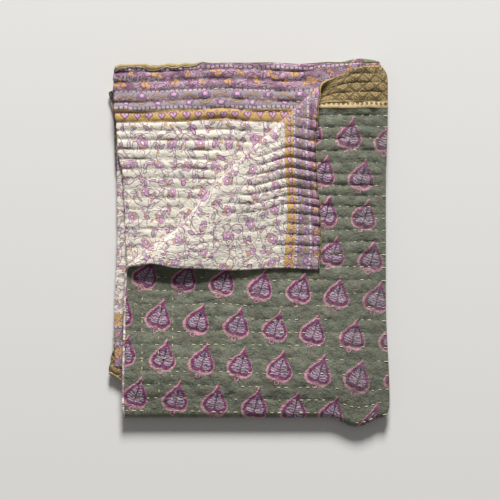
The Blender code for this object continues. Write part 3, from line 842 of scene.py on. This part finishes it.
def green_cotton():
    fabric = Fabric("green_cotton", GREEN)
    fabric.ink(GREEN_FADED, fabric.mottle(26, 4.0).eased(0.40, 0.68) * 0.8)
    fabric.ink(GREEN_DEEP, fabric.mottle(17, 4.0, 2.9).eased(0.46, 0.70) * 0.75)
    fabric.ink(GREEN_BROWN, fabric.mottle(13, 4.0, 8.4).eased(0.48, 0.66) * 0.6)
    fabric.ink(GREEN_DEEP, fabric.mottle(2.2, 2.0, 1.1, (1, 0.35)).eased(0.50, 0.70) * 0.5)
    fabric.ink(GREEN_FADED, fabric.mottle(2.2, 2.0, 3.3, (0.35, 1)).eased(0.52, 0.70) * 0.5)
    print_leaves(fabric)
    # The green is darker towards the right fold, from 205 to 285 mm across.
    fabric.ink(GREEN_DEEP, fabric.across.eased(205, 285) * 0.34)
    print_tan_border(fabric)
    fabric.weave(0.00075, 0.9)
    return fabric.finish(0.88)


def banded(*bands):
    """A cloth's rows, each an along place with its across places."""
    return [(place, row) for places, row in bands for place in places]


def front_rows():
    """Rows of points for the front cloth, fine where it shows from above."""
    fold = (TOP_WIDTH, UNDER_START, FOLD_ARC / 8)
    shown = lines((0, TOP_WIDTH, 0.0023), fold, (UNDER_START, WIDTH, 0.030))
    hidden = lines((0, TOP_WIDTH, 0.030), fold, (UNDER_START, WIDTH, 0.030))
    tuck = lines((0, 0.200, 0.020), (0.200, TOP_WIDTH, 0.0035), fold, (UNDER_START, WIDTH, 0.015))
    corner = lines((0, TOP_WIDTH, 0.030), fold, (UNDER_START, WIDTH - 0.036, 0.030),
                   (WIDTH - 0.036, WIDTH, 0.002))
    wavy = lines((0, TOP_WIDTH, 0.0023), fold, (UNDER_START, WAVY_ACROSS[0], 0.030),
                 (WAVY_ACROSS[0], WIDTH, 0.0018))
    hem_end = -HEM_ARC - 0.0004
    hem = lines((hem_end, -HEM_ARC, 0.0004), (-HEM_ARC, 0, HEM_ARC / 5))
    top = lines((0.0010, BORDER_DEPTH, 0.0010), (BORDER_DEPTH, TOP_PANEL, 0.0015),
                (TOP_PANEL, LOW_PANEL_START, 0.0015))
    low = lines((LOW_PANEL_START + 0.004, LOW_PANEL_END - 0.012, 0.025))
    round_tuck = lines((LOW_PANEL_END - 0.009, LOW_PANEL_END, 0.003), (LOW_PANEL_END, TUCKED_START, 0.0010),
                       (TUCKED_START, TUCKED_START + 0.009, 0.003))
    tucked = lines((TUCKED_START + 0.012, LENGTH - 0.040, 0.025))
    far = lines((LENGTH - 0.036, LENGTH, 0.002), (LENGTH, LENGTH + HEM_ARC, HEM_ARC / 5),
                (LENGTH + HEM_ARC, LENGTH - hem_end, 0.0004))
    return banded((hem, wavy), (top, shown), (low, hidden), (round_tuck, tuck), (tucked, hidden),
                  (far, corner))


front_cloth = cloth("front_print_cloth", front_rows(), True, green_cotton())
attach(front_cloth, "root")
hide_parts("front_cloth")

# Back cloth. One length of old cream cotton, printed with lilac flowers on curling vines, with lilac, vine
# and mustard bands across each end. Its side edges are turned over to the front as a narrow hem. It shows
# where the corner is turned back and on the layer below it, puffed up between the rows of stitching.

CREAM = dye(230, 223, 206)
CREAM_GREY = dye(206, 204, 190)
SCROLL = dye(140, 80, 124)
LILAC = dye(208, 160, 192)
LILAC_DEEP = dye(172, 118, 160)
MUSTARD = dye(206, 162, 98)
LEAF_GREY = dye(176, 170, 176)
PLUM_LINE = dye(110, 62, 104)
EYE_WHITE = dye(230, 224, 210)

FLOWER_PITCH = 32.5
FLOWER_ROW = 28.2
FLOWER_RADIUS = 5.3
RING_RADIUS = 12.9
LONG_RING_RADIUS = 20.0
SPRIG_PITCH = 21.6
SPRIG_ROW = 18.8
LEAF_SPACING = 16.2
LEAF_ROW = 14.1
BUD_PITCH = 13.0
BUD_ROW = 11.7
CURL_PITCH = 18.4
CURL_ROW = 16.3


def scattered(fabric, pitch, row_pitch, shift, jitter):
    """Right and up from the middle of the nearest repeat, each turned its own way, and a random number."""
    lifted = fabric.worked_along + shift * 1.7
    row = (lifted / row_pitch).nearest_whole()
    slid = fabric.worked_across + row * (pitch * 0.47) + shift
    column = (slid / pitch).nearest_whole()
    turn, left, low = fabric.chance(row + shift, column)
    right = slid - column * pitch + (left - 0.5) * jitter
    up = row * row_pitch - lifted + (low - 0.5) * jitter
    angle = turn * (2 * math.pi)
    sine, cosine = angle.sine(), (angle + math.pi / 2).sine()
    return right * cosine + up * sine, up * cosine - right * sine, left


def print_scrolls(fabric, worn):
    """Open rings of vine with the end curled in, and longer loose arcs between them."""
    right, up, _ = scattered(fabric, FLOWER_PITCH, FLOWER_ROW, 14.0, 3.0)
    ring = abs(right.length_with(up * 1.06) - RING_RADIUS) - 0.42
    gap = (up + 2).band(3.5, 1.0) * right.over(0)
    curl = abs((right - RING_RADIUS * 0.42).length_with(up - 1.0) - RING_RADIUS * 0.36) - 0.5
    line = (ring.within(0.9) * (1 - gap)).most(curl.within(0.9) * up.over(-2))
    right, up, _ = scattered(fabric, FLOWER_PITCH * 1.2, FLOWER_ROW * 1.1, 5.0, 6.0)
    arc = (right.length_with(up + LONG_RING_RADIUS * 0.6) - LONG_RING_RADIUS).band(0.42, 0.9)
    arc = arc * right.band(15.0, 1.5) * up.over(-8)
    wandering = 1 - abs(fabric.mottle(34, 0.0, 3.9) - 0.5).eased(0.004, 0.012)
    arc = arc.most(wandering)
    fabric.ink(SCROLL, line.most(arc) * worn.eased(0.28, 0.42) * 0.9)


def print_curls(fabric, worn):
    """Small tendrils curled to a hook, each on a short straight stalk."""
    right, up, pick = scattered(fabric, CURL_PITCH, CURL_ROW, 11.0, 5.0)
    opening = (right + 2.8).band(2.0, 0.8) * (0 - up).over(0)
    hook = (right.length_with(up) - 3.6).band(0.38, 0.7) * (1 - opening)
    stalk = (right - 3.6 + up * 0.12).band(0.38, 0.7) * up.within(0.8) * (-9.0 - up).within(0.8)
    fabric.ink(SCROLL, hook.most(stalk) * pick.over(0.30) * worn.eased(0.26, 0.38) * 0.92)


def small_leaf(right, up, size):
    """Distance from the edge of a pointed leaf, below zero inside it."""
    share = right / size
    return abs(up) - (1 - share * share) * (size * 0.44)


def print_leaf(fabric, edge, right, size, colour, shown):
    inside = right.band(size, 0.5) * shown
    fabric.ink(PLUM_LINE, (edge - 0.20).within(0.7) * inside * 0.85)
    fabric.ink(colour, (edge + 0.60).within(0.7) * inside)


def print_sprigs(fabric):
    """A grey leaf, a lilac petal and a mustard bud that share one stalk."""
    right, up, _ = scattered(fabric, SPRIG_PITCH, SPRIG_ROW, 3.0, 5.0)
    shown = right.over(-100)
    print_leaf(fabric, small_leaf(right + 3.2, up, 3.9), right + 3.2, 3.9, LEAF_GREY, shown)
    print_leaf(fabric, small_leaf(up - 2.2, right - 2.0, 3.4), up - 2.2, 3.4, LILAC, shown)
    berry = (right - 2.6).length_with(up + 2.6) - 1.35
    fabric.ink(PLUM_LINE, (berry - 0.5).within(0.6) * 0.8)
    fabric.ink(MUSTARD, berry.within(0.6))


def print_loose_leaves(fabric):
    right, up, pick = scattered(fabric, LEAF_SPACING, LEAF_ROW, 7.0, 5.0)
    edge = small_leaf(right, up, 4.3)
    print_leaf(fabric, edge, right, 4.3, CREAM_GREY, pick.over(0.25))
    print_leaf(fabric, edge, right, 4.3, LILAC, pick.over(0.55))


def print_buds(fabric):
    right, up, pick = scattered(fabric, BUD_PITCH, BUD_ROW, 9.0, 5.0)
    edge = right.length_with(up * 1.5) - 1.9
    fabric.ink(PLUM_LINE, edge.within(0.7) * 0.75 * pick.over(0.62))
    fabric.ink(LILAC, (edge + 0.7).within(0.7) * pick.over(0.62))
    fabric.ink(MUSTARD, (edge + 0.7).within(0.7) * pick.over(0.86))


def print_flowers(fabric):
    """Five round petals, one or two of them mustard, with a pale eye."""
    right, up, _ = scattered(fabric, FLOWER_PITCH, FLOWER_ROW, 0.0, 4.0)
    away = right.length_with(up)
    angle = up.angle_from(right)
    edge = away - (angle * 5).sine() * 0.7 - FLOWER_RADIUS
    fabric.ink(PLUM_LINE, edge.within(0.8) * 0.85)
    inside = (edge + 0.65).within(0.8)
    fabric.ink(LILAC, inside)
    fabric.ink(LILAC_DEEP, inside * (right + 2.2).band(1.0, 3.0) * 0.5)
    fabric.ink(MUSTARD, inside * (up + 3.0).within(0.8))
    fabric.ink(PLUM_LINE, inside * (up + 1.6).band(0.25, 0.7) * 0.6)
    fabric.ink(PLUM_LINE, (away - 2.0).within(0.7) * 0.8)
    fabric.ink(EYE_WHITE, (away - 1.3).within(0.7))


def print_vines(fabric):
    """Curling vines with flowers, grey and lilac leaves and mustard buds."""
    fabric.worked_across = fabric.across + (fabric.mottle(17, 0.0, 0.9) - 0.5) * 7
    fabric.worked_along = fabric.along + (fabric.mottle(17, 0.0, 6.9) - 0.5) * 7
    worn = fabric.mottle(3.0, 3.0, 2.7)
    print_scrolls(fabric, worn)
    print_curls(fabric, worn)
    print_buds(fabric)
    print_loose_leaves(fabric)
    print_sprigs(fabric)
    print_flowers(fabric)


MUSTARD_BAND = dye(196, 160, 96)
BEAD_WHITE = dye(206, 192, 188)
BEAD_GAP = dye(132, 98, 128)
LILAC_BAND = dye(166, 130, 146)
LILAC_SHADE = dye(118, 78, 104)
BAND_GREY = dye(162, 150, 156)
BAND_DARK = dye(90, 54, 80)
BERRY_LILAC = dye(160, 112, 150)
VINE_CORE = dye(186, 160, 120)
HEART_PINK = dye(212, 166, 190)
VINE_GROUND = dye(147, 136, 142)
VINE_BROWN = dye(138, 98, 66)
BEADS = (3.8, 28.8, 47.6)
BEAD_HALF = 1.3
BEAD_PITCH = 5.1
BEAD_WIDTH_HALF = 1.75
LILAC_END = 27.5
VINE_END = 46.0
MUSTARD_START = 50.0
MUSTARD_END = 62.6
HEART_PITCH = 13.7
HEART_MIDDLE = 56.8
VINE_PITCH = 35.0
VINE_SWING = 4.6
VINE_MIDDLE = 38.2
CLUSTER_PITCH = 30.5
VINE_BERRIES = ((-5.0, -0.6), (-1.9, 1.8), (1.9, 0.8), (4.8, -1.2), (0.2, -2.6))
BERRIES = ((-2.8, 1.6), (2.0, 1.0), (-0.6, -2.4))
SKEW = 15.5
SKEW_GATHER = 0.12


def print_lilac_band(fabric, across, depth):
    """Mauve ground closely hatched in plum, with grey leaves and mustard berries in threes."""
    fabric.ink(LILAC_BAND, (depth - LILAC_END).within(0.8))
    inside = (depth - LILAC_END + 1).within(0.8)
    cloudy = fabric.mottle(10, 3.0, 4.1, (0.5, 1))
    fabric.ink(LILAC_SHADE, inside * cloudy.eased(0.42, 0.62) * 0.8)
    fabric.ink(BAND_GREY, inside * fabric.mottle(9, 2.0, 8.8, (0.7, 1)).eased(0.54, 0.60) * 0.85)
    fabric.ink(LILAC, inside * fabric.mottle(7, 2.0, 0.8, (0.7, 1)).eased(0.58, 0.64) * 0.7)
    feathered = (fabric.mottle(11, 2.0, 7.4, (0.8, 1)) - 0.5) * 26
    slanted = (across * 0.8 + depth * 1.2 + feathered).repeat(4.2)
    hatch = slanted.band(0.72, 0.7) * fabric.mottle(9, 2.0, 6.1, (0.5, 1)).eased(0.36, 0.48)
    fabric.ink(BAND_DARK, inside * hatch * 0.85)
    crossed = (across * 0.9 - depth * 0.9 + feathered * 0.6).repeat(5.2).band(0.6, 0.7)
    fabric.ink(BAND_DARK, inside * crossed * fabric.mottle(7, 2.0, 3.1, (0.6, 1)).eased(0.50, 0.60) * 0.8)
    across = across + (fabric.mottle(24, 1.0, 1.3) - 0.5) * 22
    depth = depth + (fabric.mottle(17, 1.0, 9.7) - 0.5) * 12
    for shift, level in ((0.0, 10.0), (15.2, 20.0)):
        right = (across + shift).repeat(CLUSTER_PITCH)
        for left, low in BERRIES:
            berry = (right - left).length_with(depth - level - low) - 2.2
            fabric.ink(PLUM_LINE, (berry - 0.6).within(0.7) * 0.8)
            fabric.ink(MUSTARD, berry.within(0.8) * 0.85)


def print_vine_band(fabric, across, depth):
    """A brown vine swinging along a grey-lilac ground, with a hatched purple flower in each hollow."""
    inside = (depth - VINE_END).within(0.6) * (LILAC_END + 2 - depth).within(0.6)
    fabric.ink(VINE_GROUND, inside)
    vine_at = (across * (2 * math.pi / VINE_PITCH)).sine() * VINE_SWING + VINE_MIDDLE
    mirrored = depth - 2 * VINE_MIDDLE + vine_at
    beside = (across + VINE_PITCH / 4).repeat(VINE_PITCH / 2)
    ground_hatch = (across - depth * 0.8).repeat(4.6).band(0.6, 0.7)
    fabric.ink(PLUM_LINE, inside * ground_hatch * fabric.mottle(8, 2.0, 2.4).eased(0.50, 0.60) * 0.7)
    for left, low in VINE_BERRIES:
        berry = (beside - left).length_with(mirrored - low) - 1.2
        fabric.ink(BAND_DARK, inside * (berry - 0.7).within(0.7) * 0.85)
        fabric.ink(BERRY_LILAC, inside * berry.within(0.7))
    leaf = across.repeat(VINE_PITCH / 4).length_with(mirrored * 1.5) - 2.4
    fabric.ink(PLUM_LINE, inside * (leaf - 0.5).within(0.7) * 0.6)
    fabric.ink(LILAC, inside * leaf.within(0.9))
    fabric.ink(VINE_BROWN, inside * (depth - vine_at).band(1.15, 0.7))
    fabric.ink(VINE_CORE, inside * (depth - vine_at).band(0.35, 0.6))
    fabric.ink(PLUM_LINE, inside * (depth - vine_at - 1.5).band(0.3, 0.6) * 0.6)


def print_mustard_band(fabric, across, depth):
    """A mustard ground with a row of lilac buds and small eyes between them."""
    inside = (depth - MUSTARD_END).within(0.6) * (MUSTARD_START - depth).within(0.6)
    fabric.ink(MUSTARD_BAND, inside)
    side = abs(across.repeat(HEART_PITCH))
    low = depth - HEART_MIDDLE
    lobe = (side - 1.9).length_with(low + 1.5) - 2.1
    point = (side * 0.75 + low * 0.66 - 2.2).most(-1.5 - low)
    heart = lobe.least(point)
    fabric.ink(PLUM_LINE, inside * (heart - 0.3).within(0.7))
    fabric.ink(HEART_PINK, inside * (heart + 0.7).within(0.9))
    strokes = (across * 0.5 + depth).repeat(2.6).band(0.35, 0.7)
    fabric.ink(LILAC_SHADE, inside * (heart + 0.7).within(0.9) * strokes * 0.5)
    spot = (across + HEART_PITCH / 2).repeat(HEART_PITCH).length_with(depth - 52.6) - 1.4
    fabric.ink(PLUM_LINE, inside * spot.within(0.7))
    fabric.ink(LILAC, inside * (spot + 0.7).within(0.6))
    fabric.ink(PLUM_LINE, (depth - MUSTARD_END).band(0.3, 0.6) * 0.5)


def print_end_bands(fabric):
    """The three bands across each end of the cloth, parted by lines of white beads."""
    from_end = fabric.along.least(LENGTH * 1000 - fabric.along)
    near_side = 1 - fabric.across.eased(190, 400)
    wander = (fabric.mottle(26, 1.0, 5.4) - 0.5) * 4.0
    depth = from_end * (1 + SKEW_GATHER * near_side) + near_side * SKEW + wander
    across = fabric.across + (fabric.mottle(15, 1.0, 3.6) - 0.5) * 5.0
    worn = fabric.mottle(2.6, 3.0, 1.9)
    print_lilac_band(fabric, across, depth)
    print_vine_band(fabric, across, depth)
    print_mustard_band(fabric, across, depth)
    for level in BEADS:
        line = (abs(depth - level) - BEAD_HALF - 0.5).within(0.5)
        bead = (depth - level).band(BEAD_HALF, 0.5)
        bead = bead * across.repeat(BEAD_PITCH).band(BEAD_WIDTH_HALF, 0.6)
        fabric.ink(BEAD_GAP, line)
        fabric.ink(BEAD_WHITE, bead * worn.eased(0.26, 0.40))


def cream_cotton():
    fabric = Fabric("cream_cotton", CREAM)
    fabric.ink(CREAM_GREY, fabric.mottle(22, 3.0).eased(0.44, 0.66) * 0.6)
    print_vines(fabric)
    print_end_bands(fabric)
    fabric.weave(0.00060, 0.9)
    return fabric.finish(0.86)


def back_rows():
    """Rows of points for the back cloth, fine on the turned corner and on the bare one below it."""
    hem_end = -HEM_ARC - 0.0012
    left_hem = ((hem_end, -HEM_ARC, 0.0006), (-HEM_ARC, 0, HEM_ARC / 4))
    right_hem = ((WIDTH, WIDTH + HEM_ARC, HEM_ARC / 4), (WIDTH + HEM_ARC, WIDTH - hem_end, 0.0006))
    fold = (TOP_WIDTH, UNDER_START, FOLD_ARC / 6)
    shown = lines(*left_hem, (0, 0.226, 0.0015), (0.226, 0.266, 0.004), (0.266, TOP_WIDTH, 0.014), fold,
                  (UNDER_START, 0.340, 0.015), (0.340, 0.396, 0.004), (0.396, WIDTH, 0.0026), *right_hem)
    hollow = lines(*left_hem, (0, 0.150, 0.004), (0.150, TOP_WIDTH, 0.030), fold,
                   (UNDER_START, 0.400, 0.015), (0.400, WIDTH, 0.004), *right_hem)
    hidden = lines(*left_hem, (0, TOP_WIDTH, 0.030), fold, (UNDER_START, WIDTH - 0.030, 0.030),
                   (WIDTH - 0.030, WIDTH, 0.003), *right_hem)
    top = lines((0, 0.226, 0.0016))
    under = lines((0.2276, 0.252, 0.0016))
    rest = lines((0.254, TOP_PANEL, 0.0020), (TOP_PANEL, LOW_PANEL_START, 0.0024),
                 (LOW_PANEL_START, LOW_PANEL_END, 0.025), (LOW_PANEL_END, TUCKED_START, 0.0024),
                 (TUCKED_START, LENGTH, 0.0040))
    return banded((top, shown), (under, hollow), (rest, hidden))


back_cloth = cloth("back_print_cloth", back_rows(), False, cream_cotton())
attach(back_cloth, "root")
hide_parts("back_cloth")

# Running stitch. Thick pale cotton thread, sewn by hand in long rows through both cloths, in and out at
# small even steps, with three short columns crossing the rows near the lower left. One thread's end hangs
# loose at the left side, knotted at its tip.

STITCH_LENGTH = 0.0043
STITCH_PITCH = 0.0082
STITCH_RADIUS = 0.00050
STITCH_SUNK = 0.0005
PATH_STEP = 0.0024
COLUMNS = (0.0209, 0.0400, 0.0542)
COLUMN_FROM = 0.262
COLUMN_TO = 0.376


def cotton_thread(name, colour):
    material = bpy.data.materials.new(name)
    material.use_nodes = True
    tree = material.node_tree
    spot = node(tree, "ShaderNodeTexCoord")
    grain = node(tree, "ShaderNodeTexNoise", Vector=spot.outputs["Object"], Scale=900)
    shade = node(tree, "ShaderNodeValToRGB", grain.outputs[0])
    dark, pale = shade.color_ramp.elements
    dark.position = 0.30
    dark.color = (*(0.62 * part for part in colour[:3]), 1)
    pale.position = 0.62
    pale.color = colour
    bump = node(tree, "ShaderNodeBump", Distance=0.0001, Height=grain.outputs[0])
    feed(tree.nodes["Principled BSDF"], Base_Color=shade.outputs[0], Normal=bump.outputs[0], Roughness=0.7,
         Sheen_Weight=0.2)
    return material


def front_paths():
    """Sewn rows on the green side, and the three columns, as places on the flat quilt."""
    across = np.arange(0.004, TOP_WIDTH + FOLD_ARC / 3, PATH_STEP)
    for row in range(4, 30):
        along = row * FRONT_ROW_PITCH + FRONT_ROW_SLOPE * across
        for _ in range(5):
            along = along - (front_row(across, along) - row) * FRONT_ROW_PITCH
        shown = past_crease(across, along) < -CREASE_RADIUS * 0.5
        shown &= along < TOP_PANEL + BOTTOM_RADIUS
        yield across[shown], along[shown]
    along = np.arange(COLUMN_FROM, COLUMN_TO, PATH_STEP)
    for column in COLUMNS:
        yield column + 0.0012 * lumps(along / 0.03, along * 0 + column * 100, 7), along


def back_paths():
    """Sewn rows on the turned corner and on the bare corner below it."""
    along = np.arange(0.003, 0.226, PATH_STEP)
    for row in range(1, int(0.2 / BACK_ROW_PITCH) + 1):
        across = np.full(len(along), row * BACK_ROW_PITCH)
        for _ in range(5):
            across = across - (flap_row(across, along) - row) * BACK_ROW_PITCH
        shown = past_crease(across, along) > CREASE_RADIUS * 1.5
        yield across[shown], along[shown]
    across = np.arange(0.396, WIDTH - 0.003, PATH_STEP)
    for row in range(1, int(0.226 / BACK_ROW_PITCH) + 1):
        along = np.full(len(across), row * BACK_ROW_PITCH)
        for _ in range(3):
            along = along - (bare_row(across, along) - row) * BACK_ROW_PITCH
        shown = past_crease(across, along) > -CREASE_RADIUS
        yield across[shown], along[shown]


def sewing_lines(name, paths, is_front):
    """The sewn rows as lines on the cloth's outer face, each point knowing which way is outward."""
    places, facings, edges = [], [], []
    side = 1 if is_front else -1
    for across, along in paths:
        if len(across) < 3:
            continue
        place, _, _, outward = lay(across, along, is_front)
        start = sum(len(part) for part in places)
        places.append(place + outward * side * (CLOTH_GAP / 2 + CLOTH_THICK))
        facings.append(outward * side)
        edges += [(start + i, start + i + 1) for i in range(len(across) - 1)]
    mesh = bpy.data.meshes.new(name)
    mesh.from_pydata(np.vstack(places), edges, [])
    facing = mesh.attributes.new("facing", "FLOAT_VECTOR", "POINT")
    facing.data.foreach_set("vector", np.vstack(facings).ravel())
    return put(name, mesh)


def stitch_tree():
    """Geometry Nodes that lay one curved stitch at each step along every sewn row."""
    tree = bpy.data.node_groups.new("running_stitch", "GeometryNodeTree")
    ports = [(name, "Float") for name in ("Pitch", "Length", "Radius", "Sunk", "Shown")]
    for name, kind in [("Rows", "Geometry"), *ports, ("Thread", "Material")]:
        tree.interface.new_socket(name, in_out="INPUT", socket_type="NodeSocket" + kind)
    tree.interface.new_socket("Stitches", in_out="OUTPUT", socket_type="NodeSocketGeometry")
    given = node(tree, "NodeGroupInput").outputs
    half = Measure(tree, given["Length"]) * 0.5
    sunk = Measure(tree, given["Sunk"]) * -1.0
    start = node(tree, "ShaderNodeCombineXYZ", X=half * -1.0, Z=sunk).outputs[0]
    crest = node(tree, "ShaderNodeCombineXYZ", Z=Measure(tree, given["Radius"]) * 2.6).outputs[0]
    end = node(tree, "ShaderNodeCombineXYZ", X=half, Z=sunk).outputs[0]
    bow = node(tree, "GeometryNodeCurveQuadraticBezier", Resolution=5, Start=start, Middle=crest, End=end)
    ring = node(tree, "GeometryNodeCurvePrimitiveCircle", Resolution=5, Radius=given["Radius"])
    thread = node(tree, "GeometryNodeCurveToMesh", Curve=bow.outputs[0], Profile_Curve=ring.outputs[0],
                  Fill_Caps=True)
    curve = node(tree, "GeometryNodeMeshToCurve", Mesh=given["Rows"])
    steps = node(tree, "GeometryNodeResampleCurve", Curve=curve.outputs[0], Length=given["Pitch"],
                 settings=[("mode", "LENGTH")])
    facing = node(tree, "GeometryNodeInputNamedAttribute", Name="facing",
                  settings=[("data_type", "FLOAT_VECTOR")])
    tangent = node(tree, "GeometryNodeInputTangent")
    upright = node(tree, "FunctionNodeAlignRotationToVector", Vector=facing.outputs[0],
                   settings=[("axis", "Z")])
    turned = node(tree, "FunctionNodeAlignRotationToVector", Rotation=upright.outputs[0],
                  Vector=tangent.outputs[0], settings=[("axis", "X"), ("pivot_axis", "Z")])
    keep = node(tree, "FunctionNodeRandomValue", Seed=4)
    shown = node(tree, "FunctionNodeCompare", keep.outputs[1], given["Shown"],
                 settings=[("operation", "LESS_THAN")])
    spread = node(tree, "FunctionNodeRandomValue", None, None, 0.62, 1.12, Seed=9)
    laid = node(tree, "GeometryNodeInstanceOnPoints", Points=steps.outputs[0], Selection=shown.outputs[0],
                Instance=thread.outputs[0], Rotation=turned.outputs[0], Scale=spread.outputs[1])
    solid = node(tree, "GeometryNodeRealizeInstances", laid.outputs[0])
    coloured = node(tree, "GeometryNodeSetMaterial", Geometry=solid.outputs[0], Material=given["Thread"])
    node(tree, "NodeGroupOutput", coloured.outputs[0])
    return tree


def plain_mesh(holder, name):
    """The object's finished shape as one plain mesh, in the object's place."""
    ready = holder.evaluated_get(bpy.context.evaluated_depsgraph_get())
    mesh = bpy.data.meshes.new_from_object(ready)
    mesh.name = name
    bpy.data.objects.remove(holder)
    return mesh


def sew(name, rows, tree, shown, thread):
    """Stitches along the rows, as one plain mesh."""
    modifier = rows.modifiers.new("stitches", "NODES")
    modifier.node_group = tree
    sizes = {
        "Pitch": STITCH_PITCH, "Length": STITCH_LENGTH, "Radius": STITCH_RADIUS,
        "Sunk": STITCH_SUNK, "Shown": shown, "Thread": thread,
    }
    for port in tree.interface.items_tree:
        if port.name in sizes and port.in_out == "INPUT":
            modifier[port.identifier] = sizes[port.name]
    mesh = plain_mesh(rows, name)
    mesh.shade_smooth()
    return put(name, mesh)


running_stitch = stitch_tree()
pale_thread = cotton_thread("pale_thread", dye(232, 223, 188))
white_thread = cotton_thread("white_thread", dye(232, 226, 210))
front_sewing = sew("front_stitches", sewing_lines("front_sewing_lines", front_paths(), True),
                   running_stitch, 0.57, pale_thread)
back_sewing = sew("back_stitches", sewing_lines("back_sewing_lines", back_paths(), False),
                  running_stitch, 0.80, white_thread)

TAIL_RADIUS = 0.00045
KNOT_RADIUS = 0.0013
TAIL = (
    (-0.1498, -0.1062, 0.0126), (-0.1547, -0.1082, 0.0116), (-0.1543, -0.1113, 0.0112),
    (-0.1520, -0.1143, 0.0116), (-0.1517, -0.1177, 0.0118), (-0.1536, -0.1204, 0.0112),
    (-0.1540, -0.1224, 0.0110),
)


def loose_tail():
    """The end of a sewing thread that hangs out at the left side, knotted at its tip."""
    drawn = bpy.data.curves.new("loose_tail", "CURVE")
    drawn.dimensions = "3D"
    drawn.bevel_depth = TAIL_RADIUS
    drawn.bevel_resolution = 2
    drawn.use_fill_caps = True
    spline = drawn.splines.new("NURBS")
    spline.points.add(len(TAIL) - 1)
    for point, place in zip(spline.points, TAIL):
        point.co = (*place, 1)
    spline.use_endpoint_u = True
    spline.order_u = 3
    mesh = plain_mesh(put("loose_tail", drawn), "loose_tail")
    shape = bmesh.new()
    shape.from_mesh(mesh)
    at_tip = Matrix.Translation(TAIL[-1])
    bmesh.ops.create_icosphere(shape, subdivisions=2, radius=KNOT_RADIUS, matrix=at_tip)
    shape.to_mesh(mesh)
    shape.free()
    mesh.materials.clear()
    mesh.materials.append(tail_thread)
    mesh.shade_smooth()
    return put("loose_tail", mesh)


tail_thread = cotton_thread("tail_thread", dye(190, 180, 142))
tail = loose_tail()
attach(front_sewing, "root")
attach(back_sewing, "root")
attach(tail, "root")

# Floor, light and camera. The quilt lies on a plain pale surface, lit softly from beyond its near end and a
# little from the right, and is seen from straight above.

PIXEL = 0.00113
VIEW_X = 0.0010
VIEW_Y = -0.0085
VIEW_HEIGHT = 2.6
FRAME = 500 * PIXEL
FOCUS_Z = 0.018
FLOOR_HALF = 4.0
KEY_PLACE = (0.29, 5.39, 3.05)
KEY_SIZE = 1.75
KEY_POWER = 600
SKY = (1.0, 0.99, 0.98, 1)
SKY_STRENGTH = 0.19


def pale_surface():
    material = bpy.data.materials.new("pale_surface")
    material.use_nodes = True
    feed(material.node_tree.nodes["Principled BSDF"], Base_Color=dye(226, 224, 221), Roughness=0.9)
    return material


def floor():
    mesh = bpy.data.meshes.new("floor")
    corners = [(x * FLOOR_HALF, y * FLOOR_HALF, 0) for x, y in ((-1, -1), (1, -1), (1, 1), (-1, 1))]
    mesh.from_pydata(corners, [], [(0, 1, 2, 3)])
    mesh.materials.append(pale_surface())
    return put("floor", mesh)


def softbox(name, place, size, power):
    light = bpy.data.lights.new(name, "AREA")
    light.shape = "DISK"
    light.size = size
    light.energy = power
    box = put(name, light)
    box.location = place
    box.rotation_euler = (-Vector(place)).to_track_quat("-Z", "Y").to_euler()


floor()
softbox("key", KEY_PLACE, KEY_SIZE, KEY_POWER)
world = bpy.data.worlds.new("studio")
world.use_nodes = True
feed(world.node_tree.nodes["Background"], SKY, SKY_STRENGTH)
bpy.context.scene.world = world
bpy.context.scene.view_settings.view_transform = "Standard"

lens = bpy.data.cameras.new("camera")
lens.sensor_fit = "HORIZONTAL"
lens.angle = 2 * math.atan(FRAME / 2 / (VIEW_HEIGHT - FOCUS_Z))
camera = put("camera", lens)
camera.location = (VIEW_X, VIEW_Y, VIEW_HEIGHT)
bpy.context.scene.camera = camera
